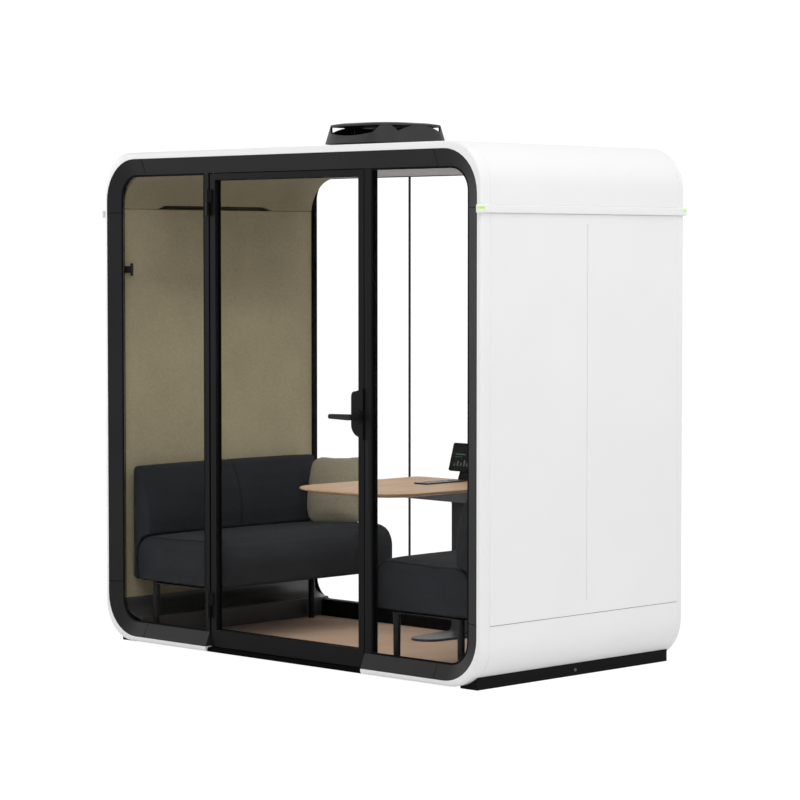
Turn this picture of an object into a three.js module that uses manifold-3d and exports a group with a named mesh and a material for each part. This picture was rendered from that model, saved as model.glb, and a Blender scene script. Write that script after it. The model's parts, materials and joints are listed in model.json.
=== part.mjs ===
// Acoustic office pod: a free-standing meeting booth with a rounded shell that runs round the
// sides, roof and floor, a glazed front with a hinged door, a glazed back, and two facing sofas
// with a table between them.
//
// Millimetres. X points right, Y points to the back, Z points up. The origin is on the ground,
// under the middle of the shell.

import * as THREE from 'three';
import { mergeVertices } from 'three/addons/utils/BufferGeometryUtils.js';
import Module from 'manifold-3d';

const wasm = await Module();
wasm.setup();

// Fits
const touch = 0.4; // clearance between pieces that touch
const slip = 0.5; // clearance round pieces that move

// Shell envelope
const shellWidth = 2210;
const shellDepth = 1206;
const roofDepth = 86.5; // ceiling to the top of the shell
const shellBottom = 8.5; // ground to the underside of the shell
const shellCorner = 168; // outside corner radius, seen from the front
const shellWall = 18;
const cornerSteps = 10; // facets in each shell corner

// Seams and rails of the sides
const lowerSeam = 249.5; // height of the seam between the side panel and the lower curve
const lowerWall = 6;
const lowerReach = 300; // lower curve, from the shell's side to its edge under the floor
const railHeight = 32;
const railDrop = 243; // top of the shell to the top of the rail
const railProud = 10;
const railFrontOverrun = 26; // past the front of the shell
const railRearOverrun = 4;
const railEdge = 4;
const guideHeight = 7;
const guideDepth = 4.5;
const guideLift = 3; // above the middle of the rail
const guideFrontLength = 39;
const guideRearLength = 20;
const grooveWidth = 4;
const grooveDepth = 3;
const grooveLowEnd = 50; // above the lower seam
const grooveHighEnd = 38; // below the rail

// Edge trims and bevelled frames
const lipSide = 20; // width of the white lip at the sides
const lipHead = 28;
const lipFoot = 21;
const lipCorner = 175; // corner radius inside the lip
const trimEdge = 11; // rounding of the trim's outer edge
const trimSteps = 4;
const frontTrimDepth = 54;
const rearTrimDepth = 34;
const openingSide = 85; // shell outside to the glazed opening
const openingHead = 95;
const openingFoot = 80;
const openingCorner = 96;
const rearOpeningHead = 88; // the rear opening reaches up to the ceiling
const frameRecess = 26; // bevel, from the outer to the inner edge of the front frame
const frameLip = 3; // thickness of the frame in front of the glass
const frameDepth = 54;
const rearRecess = 23;
const rearFrameDepth = 27;
const frameJoint = 240; // joint between post and head, from the shell's side
const glassThickness = 10;
const glassLap = 20; // glass behind the frame
const glazingBar = 4; // width of the slim bars between the rear panes
const glazingBite = 1; // the bars' depth into the frame
const rearJoint = 420; // rear pane joints, from the middle

// Doorway, jambs and threshold
const doorwayWidth = 918;
const doorwayCentre = -1;
const hingeJambWidth = 26;
const lockJambWidth = 38;
const jambDepth = 35;
const jambChannel = 12; // depth of the glass channel in a jamb
const thresholdHeight = 18;
const thresholdSetback = 10;
const thresholdNose = 7;

// Door leaf
const hingeSideGap = 10;
const lockSideGap = 4;
const doorFootGap = 3;
const doorHeadGap = 3;
const doorThickness = 30;
const stileWidth = 31;
const footRail = 71;
const headRail = 26;
const doorGlassSetback = 17.5; // face of the stile to the door glass
const doorGlassBite = 10; // glass held in the door frame's channel

// Hinges: lift-off pairs, the pin on the half that the jamb carries
const hingeProud = 8.5; // hinge axis in front of the door's face
const hingeHeight = 108;
const hingeRadius = 7;
const hingePin = 4;
const hingePlate = 4;
const hingeHold = 16; // width of each half's plate
const upperHinge = 120; // centre of the upper hinge below the door's top
const lowerHinge = 172; // centre of the lower hinge above the door's foot

// Lock, levers and latch
const lockWidth = 66;
const lockHeight = 201;
const lockRise = 923; // underside of the lock case above the shell's underside
const lockPlate = 6;
const lockSlope = 34; // slope of the lower edge of the case
const lockCrown = 10; // slope of its upper edge
const lockCornerRadius = 24;
const spindleX = 28; // spindle from the door's closing edge
const spindleRise = 90; // spindle above the case's lowest point
const spindleRadius = 5.5;
const rosetteRadius = 25.5;
const rosetteHeight = 4;
const leverNeck = 10;
const leverReach = 114; // spindle to the lever's tip
const leverHeight = 24;
const leverTip = 19;
const leverThickness = 14;
const leverStandoff = 40; // case to the back of the lever
const mortiseHeight = 36;
const boltLength = 27;
const boltThrow = 12;
const boltShow = 10; // bolt out of the door's edge
const boltThickness = 12;
const boltHeight = 30;
const boltSetback = 3; // behind the door's face
const boltRise = 27; // middle of the bolt above the spindle
const strikeHeight = 110;
const strikeDepth = 17;
const strikeWidth = 14;

// Base and floor
const skidInset = 58; // from the shell's side
const skidWidth = 88;
const skidFrontInset = 46;
const skidRearInset = 26;
const beamWidth = 80;
const beamSpacing = 330;
const deckThickness = 6;
const carpetThickness = 4.6;
const floorTop = 19.5; // carpet surface above the ground
const skirtingHeight = 74;
const skirtingSetback = 81; // rear skirting in front of the shell's rear plane
const skirtingWall = 8;

// Lining
const feltInset = 64; // shell outside to the felt's face
const feltBottom = 180.5;
const feltSeamDrop = 150.5; // ceiling to the joint between wall felt and corner felt
const feltJoint = 1.2; // open joint between wall felt and corner felt
const ceilingHeight = 2005;
const ceilingCorner = 166;
const coveFoot = 172; // shell outside to the kick's face
const coveHeight = 103.5;
const coveWall = 6;
const coveSteps = 8;
const ventLow = 679; // length of the vent slot at the seam
const ventHigh = 590;
const ventHeight = 18;
const ventDepth = 25;
const ventOffset = -18; // middle of the slot from the middle of the pod
const ceilingSlots = 5;
const ceilingSlotLength = 160;
const ceilingSlotWidth = 10;
const ceilingSlotPitch = 28;

// Coat hook
const hookFromFront = 63;
const hookRise = 1596;
const hookReach = 48; // felt to the end of the hook
const hookStemHeight = 30;
const hookStemWidth = 10;
const hookPlateHeight = 54;
const hookPlateWidth = 12;
const hookPlateThickness = 8;
const hookRound = 3;

// Sofas
const sofaFromFront = 75; // shell's front plane to the sofa
const sofaFromRear = 91; // sofa to the shell's rear plane
const seatClear = 241; // floor to the underside of the seat
const seatThickness = 208;
const sofaWallGap = 28; // felt to the back of the backrest
const seatBackGap = 25; // back of the backrest to the back of the seat
const seatDepth = 531;
const seatRake = 15; // how far the seat falls towards its back
const seatFrontRadius = 95;
const seatBackRadius = 85;
const seatLowRadius = 20;
const seatCrown = 5;
const seatEdge = 14; // rounding of the ends
const backRise = 490; // height of the backrest
const backThin = 58; // thickness of the backrest at its top
const backThick = 112; // thickness at the seat
const backBelly = 14; // how far the front bows out between them
const backEdge = 20;
const backCrown = 4;
const backClear = 2; // underside of the backrest above that of the seat
const channelDepth = 4;
const channelWidth = 16;
const cushionSteps = 5;
const legRadius = 15.5;
const legFootRadius = 13;
const legSides = 16;
const legFromWall = 141; // felt to the wall-side legs
const legSpread = 348; // wall-side legs to aisle-side legs
const legFromFront = 37; // front legs from the front end of the seat
const legFromRear = 84;
const railSection = 5;
const railWidth = 30;

// Pillow
const pillowWidth = 310;
const pillowHeight = 295;
const pillowThickness = 105;
const pillowDraw = 0.05; // how far the edges draw in between the corners
const pillowYaw = 20; // degrees, turned out of the corner
const pillowLean = 15; // degrees
const pillowRings = 14;
const pillowSides = 24;
const pillowWallGap = 4;
const pillowRearGap = 40;

// Table
const tableRise = 667; // floor to the table's surface
const tableWidth = 644;
const tableRearGap = 78; // table's rear edge in front of the shell's rear plane
const tableLength = 827;
const tableThickness = 18;
const tableRim = 6; // square part of the edge
const tableUndercut = 40;
const tableFrontRadius = 170;
const tableRearRadius = 18;
const tableBow = 22; // how far the front edge bows out
const tableSteps = 7;
const columnWidth = 96;
const columnDepth = 58;
const columnRearGap = 13; // rear skirting to the back of the column
const beamDepth = 74;
const beamReach = 530; // table beam in front of the column
const beamTip = 8;
const footLength = 265; // table foot in front of the column
const footThickness = 10;
const footRearWidth = 196;
const footFrontWidth = 150;
const columnFillet = 42;

// Power strip and display
const stripWidth = 80;
const stripLength = 246;
const stripHeight = 6;
const stripFromColumn = -3; // rear end of the strip in front of the column's front face
const stripSockets = 3;
const socketLength = 52;
const socketWidth = 30;
const socketDepth = 3;
const socketPitch = 74;
const displayWidth = 180;
const displayHeight = 124;
const displayThickness = 10;
const displayRadius = 8;
const displayBezel = 6;
const displayRecess = 0.8;
const displayTilt = 17; // degrees
const displayClear = 38; // table to the display's lower edge
const displayFromRear = 42; // lower edge in front of the table's rear edge
const neckWidth = 52;
const neckFoot = 64;
const neckThickness = 9;

// Roof ventilator
const fanPlinth = 372;
const fanPlinthHeight = 26;
const fanFoot = 432; // width of the cowl at its lower rim
const fanCrown = 392; // width under the cap
const fanHeight = 105; // roof to the cap's edge
const fanDome = 9;
const fanRound = 0.3; // corner radius as a share of the width
const fanWall = 6;
const fanSteps = 6;
const fanOpeningHigh = 97; // roof to the upper edge of the cowl's openings
const fanMouthLow = 57; // roof to the lower edge of the front mouth, in its middle
const fanMouthEnd = 68; // and at its ends
const fanArchEnd = 73; // roof to the ends of the arched panels on the other sides
const fanArchPeak = 100;
const fanPillar = 51; // cap's edge to the openings' upper corners
const fanSplay = 22; // how much wider the pillars are at the openings' lower corners
const fanThroat = 220; // hole in the roof
const fanSides = 28;
const motorRadius = 34;
const motorTop = 50;
const spiderWidth = 22;
const spiderHeight = 12;
const rotorRadius = 142;
const rotorHub = 52;
const rotorHeight = 40;
const rotorBlades = 7;
const rotorBlade = 5;
const rotorSweep = 0.75; // radians that each blade turns from hub to rim

// Derived places
const halfWidth = shellWidth / 2;
const shellTop = ceilingHeight + roofDepth;
const railTop = shellTop - railDrop;
const feltSeam = ceilingHeight - feltSeamDrop;
const frontY = -shellDepth / 2;
const rearY = shellDepth / 2;
const frontFaceY = frontY + frameRecess; // face of the jambs and the door
const frontGlassY = frontFaceY + frameLip + touch;
const frontFrameBackY = frontY + frameDepth;
const rearFrameFrontY = rearY - rearFrameDepth;
const rearGlassY = rearFrameFrontY - touch - glassThickness;
const shellFrontY = frontY + frontTrimDepth + touch;
const shellRearY = rearY - rearTrimDepth - touch;
const liningFrontY = frontFrameBackY + touch;
const liningRearY = rearGlassY - touch;
const railBottom = railTop - railHeight;
const doorwayLeft = doorwayCentre - doorwayWidth / 2;
const doorwayRight = doorwayCentre + doorwayWidth / 2;
const openingBottom = shellBottom + openingFoot;
const openingTop = shellTop - openingHead;
const doorLeft = doorwayLeft + hingeSideGap;
const doorRight = doorwayRight - lockSideGap;
const doorFoot = shellBottom + thresholdHeight + doorFootGap;
const doorHead = openingTop - doorHeadGap;
const doorBackY = frontFaceY + doorThickness;
const doorGlassY = frontFaceY + doorGlassSetback;
const hingeX = doorwayLeft + hingeSideGap / 2;
const hingeY = frontFaceY - hingeProud;
const lockFoot = shellBottom + lockRise;
const lockLeft = doorRight - lockWidth;
const lockTop = lockFoot + lockHeight;
const spindlePlace = doorRight - spindleX;
const spindleHeight = lockFoot + spindleRise;
const boltMiddle = spindleHeight + boltRise;
const feltX = -halfWidth + feltInset;
const seatBottom = floorTop + seatClear;
const seatTop = seatBottom + seatThickness;
const sofaFrontY = frontY + sofaFromFront;
const sofaRearY = rearY - sofaFromRear;
const tableTop = floorTop + tableRise;
const tableUnder = tableTop - tableThickness;
const tableRearY = rearY - tableRearGap;
const skirtingY = rearY - skirtingSetback;
const columnRearY = skirtingY - columnRearGap;
const columnFrontY = columnRearY - columnDepth;
const carpetUnder = floorTop - carpetThickness;

// Finishes
const finish = (color, roughness, metalness = 0, extra = {}) =>
  new THREE.MeshStandardMaterial({ color, roughness, metalness, ...extra });
const shellWhite = finish(0xebecee, 0.45);
const frameBlack = finish(0x26262a, 0.5, 0.3);
const baseBlack = finish(0x1d1d1f, 0.6, 0.2);
const clearGlass = finish(0xf4f8f7, 0.03, 0, { transparent: true, opacity: 0.15 });
const feltKhaki = finish(0x787059, 0.95);
const sofaNavy = finish(0x282b31, 0.9);
const carpetBrown = finish(0x6f5d4e, 0.97);
const coveBlack = finish(0x1c1c1c, 0.2);
const lightLime = finish(0xa8f000, 0.4);
const tableOak = finish(0xb09278, 0.5);
const graphite = finish(0x3a3b3d, 0.5, 0.5);
const stripGrey = finish(0x8b8e92, 0.4, 0.7);
const ceilingGrey = finish(0x828282, 0.85);
const fanBlack = finish(0x4a4b4d, 0.55);
const screenDark = finish(0x2a2b29, 0.25);
const pillowKhaki = finish(0x7f7964, 0.95);

const pod = new THREE.Group();
let assembly = pod;

/** Starts a named group of pieces. */
function section(name) {
  assembly = new THREE.Group();
  assembly.name = name;
  pod.add(assembly);
}

/** Turns faces outward by the sign of the enclosed volume. */
function outward(geometry) {
  const place = geometry.getAttribute('position');
  const index = geometry.getIndex();
  const a = new THREE.Vector3();
  const b = new THREE.Vector3();
  const c = new THREE.Vector3();
  let volume = 0;
  for (let i = 0; i < index.count; i += 3) {
    a.fromBufferAttribute(place, index.getX(i));
    b.fromBufferAttribute(place, index.getX(i + 1));
    c.fromBufferAttribute(place, index.getX(i + 2));
    volume += a.dot(b.cross(c));
  }
  if (volume < 0) {
    for (let i = 0; i < index.count; i += 3) {
      const first = index.getX(i);
      index.setX(i, index.getX(i + 1));
      index.setX(i + 1, first);
    }
  }
  return geometry;
}

/** A solid from a closed geometry, with its shared corners merged. */
function solid(geometry) {
  const bare = geometry.clone();
  bare.deleteAttribute('normal');
  bare.deleteAttribute('uv');
  const welded = outward(mergeVertices(bare, 1e-3));
  const mesh = new wasm.Mesh({
    numProp: 3,
    vertProperties: new Float32Array(welded.getAttribute('position').array),
    triVerts: new Uint32Array(welded.getIndex().array),
  });
  return new wasm.Manifold(mesh);
}

/** The geometry of a solid, for a mesh or a mirrored copy. */
function geometryOf(body) {
  const mesh = body.getMesh();
  const geometry = new THREE.BufferGeometry();
  const place = new Float32Array(mesh.vertProperties);
  geometry.setAttribute('position', new THREE.BufferAttribute(place, 3));
  geometry.setIndex(new THREE.BufferAttribute(new Uint32Array(mesh.triVerts), 1));
  geometry.computeVertexNormals();
  return geometry;
}

const join = (first, ...others) => others.reduce((sum, body) => sum.add(body), first);
const cut = (first, ...others) => others.reduce((rest, body) => rest.subtract(body), first);
const common = (first, ...others) => others.reduce((rest, body) => rest.intersect(body), first);
const mirrored = (body) => solid(geometryOf(body).scale(-1, 1, 1));

/** Adds one named piece to the present group. */
function piece(name, body, material) {
  const mesh = new THREE.Mesh(geometryOf(body), material);
  mesh.name = name;
  assembly.add(mesh);
}

/** Adds a left piece and its mirror image on the right. */
function pair(leftName, rightName, body, material) {
  piece(leftName, body, material);
  piece(rightName, mirrored(body), material);
}

/** A box between two corners. */
function box(x0, x1, y0, y1, z0, z1) {
  const geometry = new THREE.BoxGeometry(x1 - x0, y1 - y0, z1 - z0);
  geometry.translate((x0 + x1) / 2, (y0 + y1) / 2, (z0 + z1) / 2);
  return solid(geometry);
}

function extruded(shape, length, curveSegments) {
  return new THREE.ExtrudeGeometry(shape, { depth: length, bevelEnabled: false, curveSegments });
}

/** A shape drawn in X and Z, carried from y0 to y1. */
function alongY(shape, y0, y1, facets = cornerSteps) {
  return solid(extruded(shape, y1 - y0, facets).rotateX(Math.PI / 2).translate(0, y1, 0));
}

/** A shape drawn in Y and Z, carried from x0 to x1. */
function alongX(shape, x0, x1, facets = cornerSteps) {
  const turn = new THREE.Matrix4().makeBasis(
    new THREE.Vector3(0, 1, 0),
    new THREE.Vector3(0, 0, 1),
    new THREE.Vector3(1, 0, 0),
  );
  return solid(extruded(shape, x1 - x0, facets).applyMatrix4(turn).translate(x0, 0, 0));
}

/** A shape drawn in X and Y, carried from z0 to z1. */
function alongZ(shape, z0, z1, facets = cornerSteps) {
  return solid(extruded(shape, z1 - z0, facets).translate(0, 0, z0));
}

/** A round bar along Y. */
function barY(x, z, radius, y0, y1, sides = legSides) {
  const geometry = new THREE.CylinderGeometry(radius, radius, y1 - y0, sides);
  return solid(geometry.translate(x, (y0 + y1) / 2, z));
}

/** A round bar along Z that may taper. */
function barZ(x, y, lowRadius, highRadius, z0, z1, sides = legSides) {
  const geometry = new THREE.CylinderGeometry(highRadius, lowRadius, z1 - z0, sides);
  return solid(geometry.rotateX(Math.PI / 2).translate(x, y, (z0 + z1) / 2));
}

const polygon = (points) => new THREE.Shape(points.map(([u, v]) => new THREE.Vector2(u, v)));

/** A rectangle with round corners. */
function roundedRect(u0, v0, u1, v1, radius) {
  const shape = new THREE.Shape();
  shape.moveTo(u0 + radius, v0);
  shape.lineTo(u1 - radius, v0);
  shape.absarc(u1 - radius, v0 + radius, radius, -Math.PI / 2, 0);
  shape.lineTo(u1, v1 - radius);
  shape.absarc(u1 - radius, v1 - radius, radius, 0, Math.PI / 2);
  shape.lineTo(u0 + radius, v1);
  shape.absarc(u0 + radius, v1 - radius, radius, Math.PI / 2, Math.PI);
  shape.lineTo(u0, v0 + radius);
  shape.absarc(u0 + radius, v0 + radius, radius, Math.PI, 1.5 * Math.PI);
  return shape;
}

// Rounded edges round the pod, each by its distance in from the shell's sides, top and underside
const shellEdge = { side: 0, head: 0, foot: 0, radius: shellCorner };
const lipEdge = { side: lipSide, head: lipHead, foot: lipFoot, radius: lipCorner };
const openingEdge = {
  side: openingSide,
  head: openingHead,
  foot: openingFoot,
  radius: openingCorner,
};
const rearOpeningEdge = { ...openingEdge, head: rearOpeningHead };
const within = (edge, inset) => ({
  side: edge.side + inset,
  head: edge.head + inset,
  foot: edge.foot + inset,
  radius: edge.radius - inset,
});

/** Points of a rounded edge in X and Z. */
function outline(edge) {
  const points = [];
  const centreX = halfWidth - edge.side - edge.radius;
  const high = shellTop - edge.head - edge.radius;
  const low = shellBottom + edge.foot + edge.radius;
  const centres = [
    [centreX, high],
    [-centreX, high],
    [-centreX, low],
    [centreX, low],
  ];
  centres.forEach(([x, z], corner) => {
    for (let step = 0; step <= cornerSteps; step++) {
      const angle = (corner + step / cornerSteps) * (Math.PI / 2);
      const across = x + edge.radius * Math.cos(angle);
      const up = z + edge.radius * Math.sin(angle);
      points.push(new THREE.Vector2(across, up));
    }
  });
  return points;
}

/** A rounded edge filled in, as a body from y0 to y1. */
const outlineBody = (edge, y0, y1) => alongY(new THREE.Shape(outline(edge)), y0, y1);

/** A wall of the shell, from its outside inwards. */
function shellBand(wall, y0, y1) {
  const shape = new THREE.Shape(outline(shellEdge));
  shape.holes.push(new THREE.Path(outline(within(shellEdge, wall))));
  return alongY(shape, y0, y1);
}

/** Faces between rings of points, each ring closed, and the row of rings open or closed. */
function skin(rings, closedRow) {
  const count = rings[0].length;
  const place = rings.flat().flatMap((point) => [point.x, point.y, point.z]);
  const index = [];
  const rows = closedRow ? rings.length : rings.length - 1;
  for (let i = 0; i < rows; i++) {
    const next = (i + 1) % rings.length;
    for (let j = 0; j < count; j++) {
      const side = (j + 1) % count;
      index.push(i * count + j, next * count + j, next * count + side);
      index.push(i * count + j, next * count + side, i * count + side);
    }
  }
  if (!closedRow) {
    [0, rings.length - 1].forEach((end) => {
      const middle = new THREE.Vector3();
      rings[end].forEach((point) => middle.addScaledVector(point, 1 / count));
      const hub = place.length / 3;
      place.push(middle.x, middle.y, middle.z);
      for (let j = 0; j < count; j++) {
        const side = (j + 1) % count;
        const low = end * count + j;
        const high = end * count + side;
        index.push(...(end === 0 ? [hub, low, high] : [hub, high, low]));
      }
    });
  }
  const geometry = new THREE.BufferGeometry();
  geometry.setAttribute('position', new THREE.BufferAttribute(new Float32Array(place), 3));
  geometry.setIndex(index);
  return geometry;
}

const loft = (rings) => solid(skin(rings, false));

/** A section of edges and depths, carried once round the pod. */
function sweptRound(section) {
  const loops = section.map(([edge]) => outline(edge));
  const rings = loops[0].map((_, i) =>
    section.map(([, y], j) => new THREE.Vector3(loops[j][i].x, y, loops[j][i].y)),
  );
  return solid(skin(rings, true));
}

/** Moves each point of a closed ring in by an amount, and out by a crown on its upper front. */
function shrunk(ring, inset, crown = 0, front = 1) {
  return ring.map((point, i) => {
    const before = ring[(i + ring.length - 1) % ring.length];
    const after = ring[(i + 1) % ring.length];
    const along = after.clone().sub(before).normalize();
    const normal = new THREE.Vector2(along.y, -along.x);
    const swell = crown * Math.max(0, front * normal.x, normal.y);
    return point.clone().addScaledVector(normal, swell - inset);
  });
}

/** Stations along a cushion: rounded ends, and a fullness that fades towards them. */
function stations(y0, y1, edge, fractions) {
  const list = [];
  const turn = [0, 1, 2, 3].map((step) => (step / 3) * (Math.PI / 2));
  turn.forEach((angle) => {
    list.push({ y: y0 + edge * (1 - Math.cos(angle)), inset: edge * (1 - Math.sin(angle)), full: 0 });
  });
  fractions.forEach((share) => {
    const full = 1 - (2 * share - 1) ** 4;
    list.push({ y: y0 + share * (y1 - y0), inset: 0, full });
  });
  turn.reverse().forEach((angle) => {
    list.push({ y: y1 - edge * (1 - Math.cos(angle)), inset: edge * (1 - Math.sin(angle)), full: 0 });
  });
  return list;
}

const lift = (ring, y) => ring.map((point) => new THREE.Vector3(point.x, y, point.y));

section('base');

// Base: two skids under the curves, cross members and a deck sheet, welded in one
const shellVolume = outlineBody(within(shellEdge, -touch), frontY, rearY);
const deckReach = halfWidth - lowerReach - touch;
const skidX = -halfWidth + skidInset;
const skid = cut(
  box(
    skidX,
    skidX + skidWidth,
    frontY + skidFrontInset,
    rearY - skidRearInset,
    0,
    shellBottom + shellCorner,
  ),
  shellVolume,
);
const beams = [-1, 0, 1].map((place) =>
  box(
    skidX + skidWidth / 2,
    -skidX - skidWidth / 2,
    place * beamSpacing - beamWidth / 2,
    place * beamSpacing + beamWidth / 2,
    0,
    shellBottom - touch,
  ),
);
const deck = box(
  -deckReach,
  deckReach,
  shellFrontY,
  shellRearY,
  shellBottom - touch - slip,
  shellBottom + deckThickness,
);
piece('base_frame', join(skid, mirrored(skid), ...beams, deck), baseBlack);

const kickX = -halfWidth + coveFoot;
piece(
  'floor_carpet',
  box(kickX + touch, -kickX - touch, liningFrontY, skirtingY - touch, carpetUnder, floorTop),
  carpetBrown,
);

section('shell');

// Sides: flat panel with a groove, lower curve, light rail with a window at each end
const sideSlab = box(
  -halfWidth,
  -halfWidth + shellWall,
  shellFrontY,
  shellRearY,
  lowerSeam + touch,
  railBottom - touch,
);
const grooveY = (shellFrontY + shellRearY) / 2;
const groove = box(
  -halfWidth - touch,
  -halfWidth + grooveDepth,
  grooveY - grooveWidth / 2,
  grooveY + grooveWidth / 2,
  lowerSeam + grooveLowEnd,
  railBottom - grooveHighEnd,
);
pair('side_panel_left', 'side_panel_right', cut(sideSlab, groove), shellWhite);

const lowerBand = shellBand(lowerWall, shellFrontY, shellRearY);
const lowerZone = box(
  -halfWidth - touch,
  -halfWidth + lowerReach,
  frontY,
  rearY,
  0,
  lowerSeam - touch,
);
pair('lower_curve_left', 'lower_curve_right', common(lowerBand, lowerZone), shellWhite);

const railFrontY = frontY - railFrontOverrun;
const railRearY = rearY + railRearOverrun;
const railFace = alongY(
  roundedRect(-halfWidth - railProud, railBottom, -halfWidth - touch, railTop, railEdge),
  railFrontY,
  railRearY,
  3,
);
const railBody = box(
  -halfWidth - railProud / 2,
  -halfWidth + shellWall,
  shellFrontY,
  shellRearY,
  railBottom,
  railTop,
);
const guideX = -halfWidth - railProud;
const guideLow = (railBottom + railTop - guideHeight) / 2 + guideLift;
const guideBox = (y0, y1, grow) =>
  box(
    guideX - grow,
    guideX + guideDepth + grow,
    y0 - grow,
    y1 + grow,
    guideLow - grow,
    guideLow + guideHeight + grow,
  );
const frontWindow = [railFrontY, railFrontY + guideFrontLength];
const rearWindow = [railRearY - guideRearLength, railRearY];
const rail = cut(
  join(railFace, railBody),
  guideBox(...frontWindow, touch),
  guideBox(...rearWindow, touch),
);
pair('light_rail_left', 'light_rail_right', rail, shellWhite);
const frontGuide = guideBox(...frontWindow, 0);
const rearGuide = guideBox(...rearWindow, 0);
pair('light_guide_front_left', 'light_guide_front_right', frontGuide, lightLime);
pair('light_guide_rear_left', 'light_guide_rear_right', rearGuide, lightLime);

// Roof, with the ventilator's throat
const roofZone = box(
  -halfWidth - touch,
  halfWidth + touch,
  frontY,
  rearY,
  railTop + touch,
  shellTop + touch,
);
const roofBand = common(shellBand(shellWall, shellFrontY, shellRearY), roofZone);
const throat = barZ(0, 0, fanThroat / 2, fanThroat / 2, ceilingHeight, shellTop + touch, fanSides);
piece('roof_shell', cut(roofBand, throat), shellWhite);

// Edge trims; the front one stops at the doorway's foot
const trimSection = (faceY, backY, turn) => [
  [shellEdge, backY],
  ...Array.from({ length: trimSteps + 1 }, (_, i) => {
    const angle = (i / trimSteps) * (Math.PI / 2);
    const inset = trimEdge * (1 - Math.cos(angle));
    return [within(shellEdge, inset), faceY - turn * trimEdge * (1 - Math.sin(angle))];
  }),
  [lipEdge, faceY],
  [lipEdge, backY],
];
const doorwayFoot = box(
  doorwayLeft,
  doorwayRight,
  frontY - touch,
  shellFrontY,
  shellBottom - touch,
  openingBottom + touch,
);
const frontTrim = sweptRound(trimSection(frontY, frontY + frontTrimDepth, -1));
piece('front_edge_trim', cut(frontTrim, doorwayFoot), shellWhite);
const rearTrim = sweptRound(trimSection(rearY, rearY - rearTrimDepth, 1));
piece('rear_edge_trim', rearTrim, shellWhite);

section('front_and_rear');

// Bevelled frames; the front one has a pocket for the glass behind its inner edge
const frameEdge = within(lipEdge, touch);
const pocketEdge = within(openingEdge, -glassLap);
const frontSection = [
  [frameEdge, frontY],
  [openingEdge, frontFaceY],
  [openingEdge, frontFaceY + frameLip],
  [pocketEdge, frontFaceY + frameLip],
  [pocketEdge, frontFrameBackY],
  [frameEdge, frontFrameBackY],
];
const rearSection = [
  [frameEdge, rearY],
  [rearOpeningEdge, rearY - rearRecess],
  [rearOpeningEdge, rearFrameFrontY],
  [frameEdge, rearFrameFrontY],
];
const frontFrame = cut(sweptRound(frontSection), doorwayFoot);
const jointX = halfWidth - frameJoint;
const midHeight = (shellBottom + shellTop) / 2;
const zone = (x0, x1, z0, z1) => box(x0, x1, frontY - touch, shellFrontY, z0, z1);
const headZone = zone(-jointX, jointX, midHeight, shellTop);
const frameLeftZone = join(
  zone(-halfWidth, -jointX - touch, shellBottom, shellTop),
  zone(-halfWidth, doorwayLeft, shellBottom, midHeight),
);
const frameRightZone = join(
  zone(jointX + touch, halfWidth, shellBottom, shellTop),
  zone(doorwayRight, halfWidth, shellBottom, midHeight),
);
piece('front_frame_left', common(frontFrame, frameLeftZone), frameBlack);
piece('front_frame_right', common(frontFrame, frameRightZone), frameBlack);
piece('front_frame_head', common(frontFrame, headZone), frameBlack);

const barZone = (x, y0, y1) =>
  box(
    x - glazingBar / 2,
    x + glazingBar / 2,
    y0,
    y1,
    openingBottom - glassLap,
    openingTop + glassLap,
  );
const rearBars = [-rearJoint, rearJoint].map((x) =>
  barZone(x, rearGlassY, rearFrameFrontY + glazingBite),
);
piece('rear_frame', join(sweptRound(rearSection), ...rearBars), frameBlack);

// Glass panes, laid against the frames
const paneEdge = within(pocketEdge, touch);
const paneZone = (x0, x1, y) =>
  box(x0, x1, y - touch, y + glassThickness + touch, shellBottom, shellTop);
const frontPane = outlineBody(paneEdge, frontGlassY, frontGlassY + glassThickness);
const hingeJambX = doorwayLeft - hingeJambWidth;
const lockJambX = doorwayRight + lockJambWidth;
const leftPane = paneZone(-halfWidth, hingeJambX + jambChannel - touch, frontGlassY);
const rightPane = paneZone(lockJambX - jambChannel + touch, halfWidth, frontGlassY);
piece('front_glass_left', common(frontPane, leftPane), clearGlass);
piece('front_glass_right', common(frontPane, rightPane), clearGlass);

const rearPane = outlineBody(paneEdge, rearGlassY, rearGlassY + glassThickness);
const barHalf = glazingBar / 2 + touch;
const rearLeftPane = paneZone(-halfWidth, -rearJoint - barHalf, rearGlassY);
const rearMidPane = paneZone(-rearJoint + barHalf, rearJoint - barHalf, rearGlassY);
const rearRightPane = paneZone(rearJoint + barHalf, halfWidth, rearGlassY);
piece('rear_glass_left', common(rearPane, rearLeftPane), clearGlass);
piece('rear_glass_centre', common(rearPane, rearMidPane), clearGlass);
piece('rear_glass_right', common(rearPane, rearRightPane), clearGlass);

// Jambs: square posts that reach into the frame's pocket, with a channel for the fixed pane; the
// lock jamb has the strike's notch, open to the front
const jambBackY = frontFaceY + jambDepth;
const jamb = (x0, x1) =>
  join(
    box(x0, x1, frontFaceY, jambBackY, openingBottom + touch, openingTop - touch),
    box(
      x0,
      x1,
      frontGlassY,
      frontFrameBackY - touch,
      openingBottom - glassLap + touch,
      openingTop + glassLap - touch,
    ),
  );
const channel = (x0, x1) =>
  box(
    x0,
    x1,
    frontGlassY - touch,
    frontGlassY + glassThickness + touch,
    shellBottom,
    shellTop,
  );
const hingeChannel = channel(hingeJambX - touch, hingeJambX + jambChannel);
piece('hinge_jamb', cut(jamb(hingeJambX, doorwayLeft), hingeChannel), frameBlack);
const strike = box(
  doorwayRight - touch,
  doorwayRight + strikeWidth,
  frontFaceY - touch,
  frontFaceY + strikeDepth,
  boltMiddle - strikeHeight / 2,
  boltMiddle + strikeHeight / 2,
);
const lockChannel = channel(lockJambX - jambChannel, lockJambX + touch);
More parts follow.
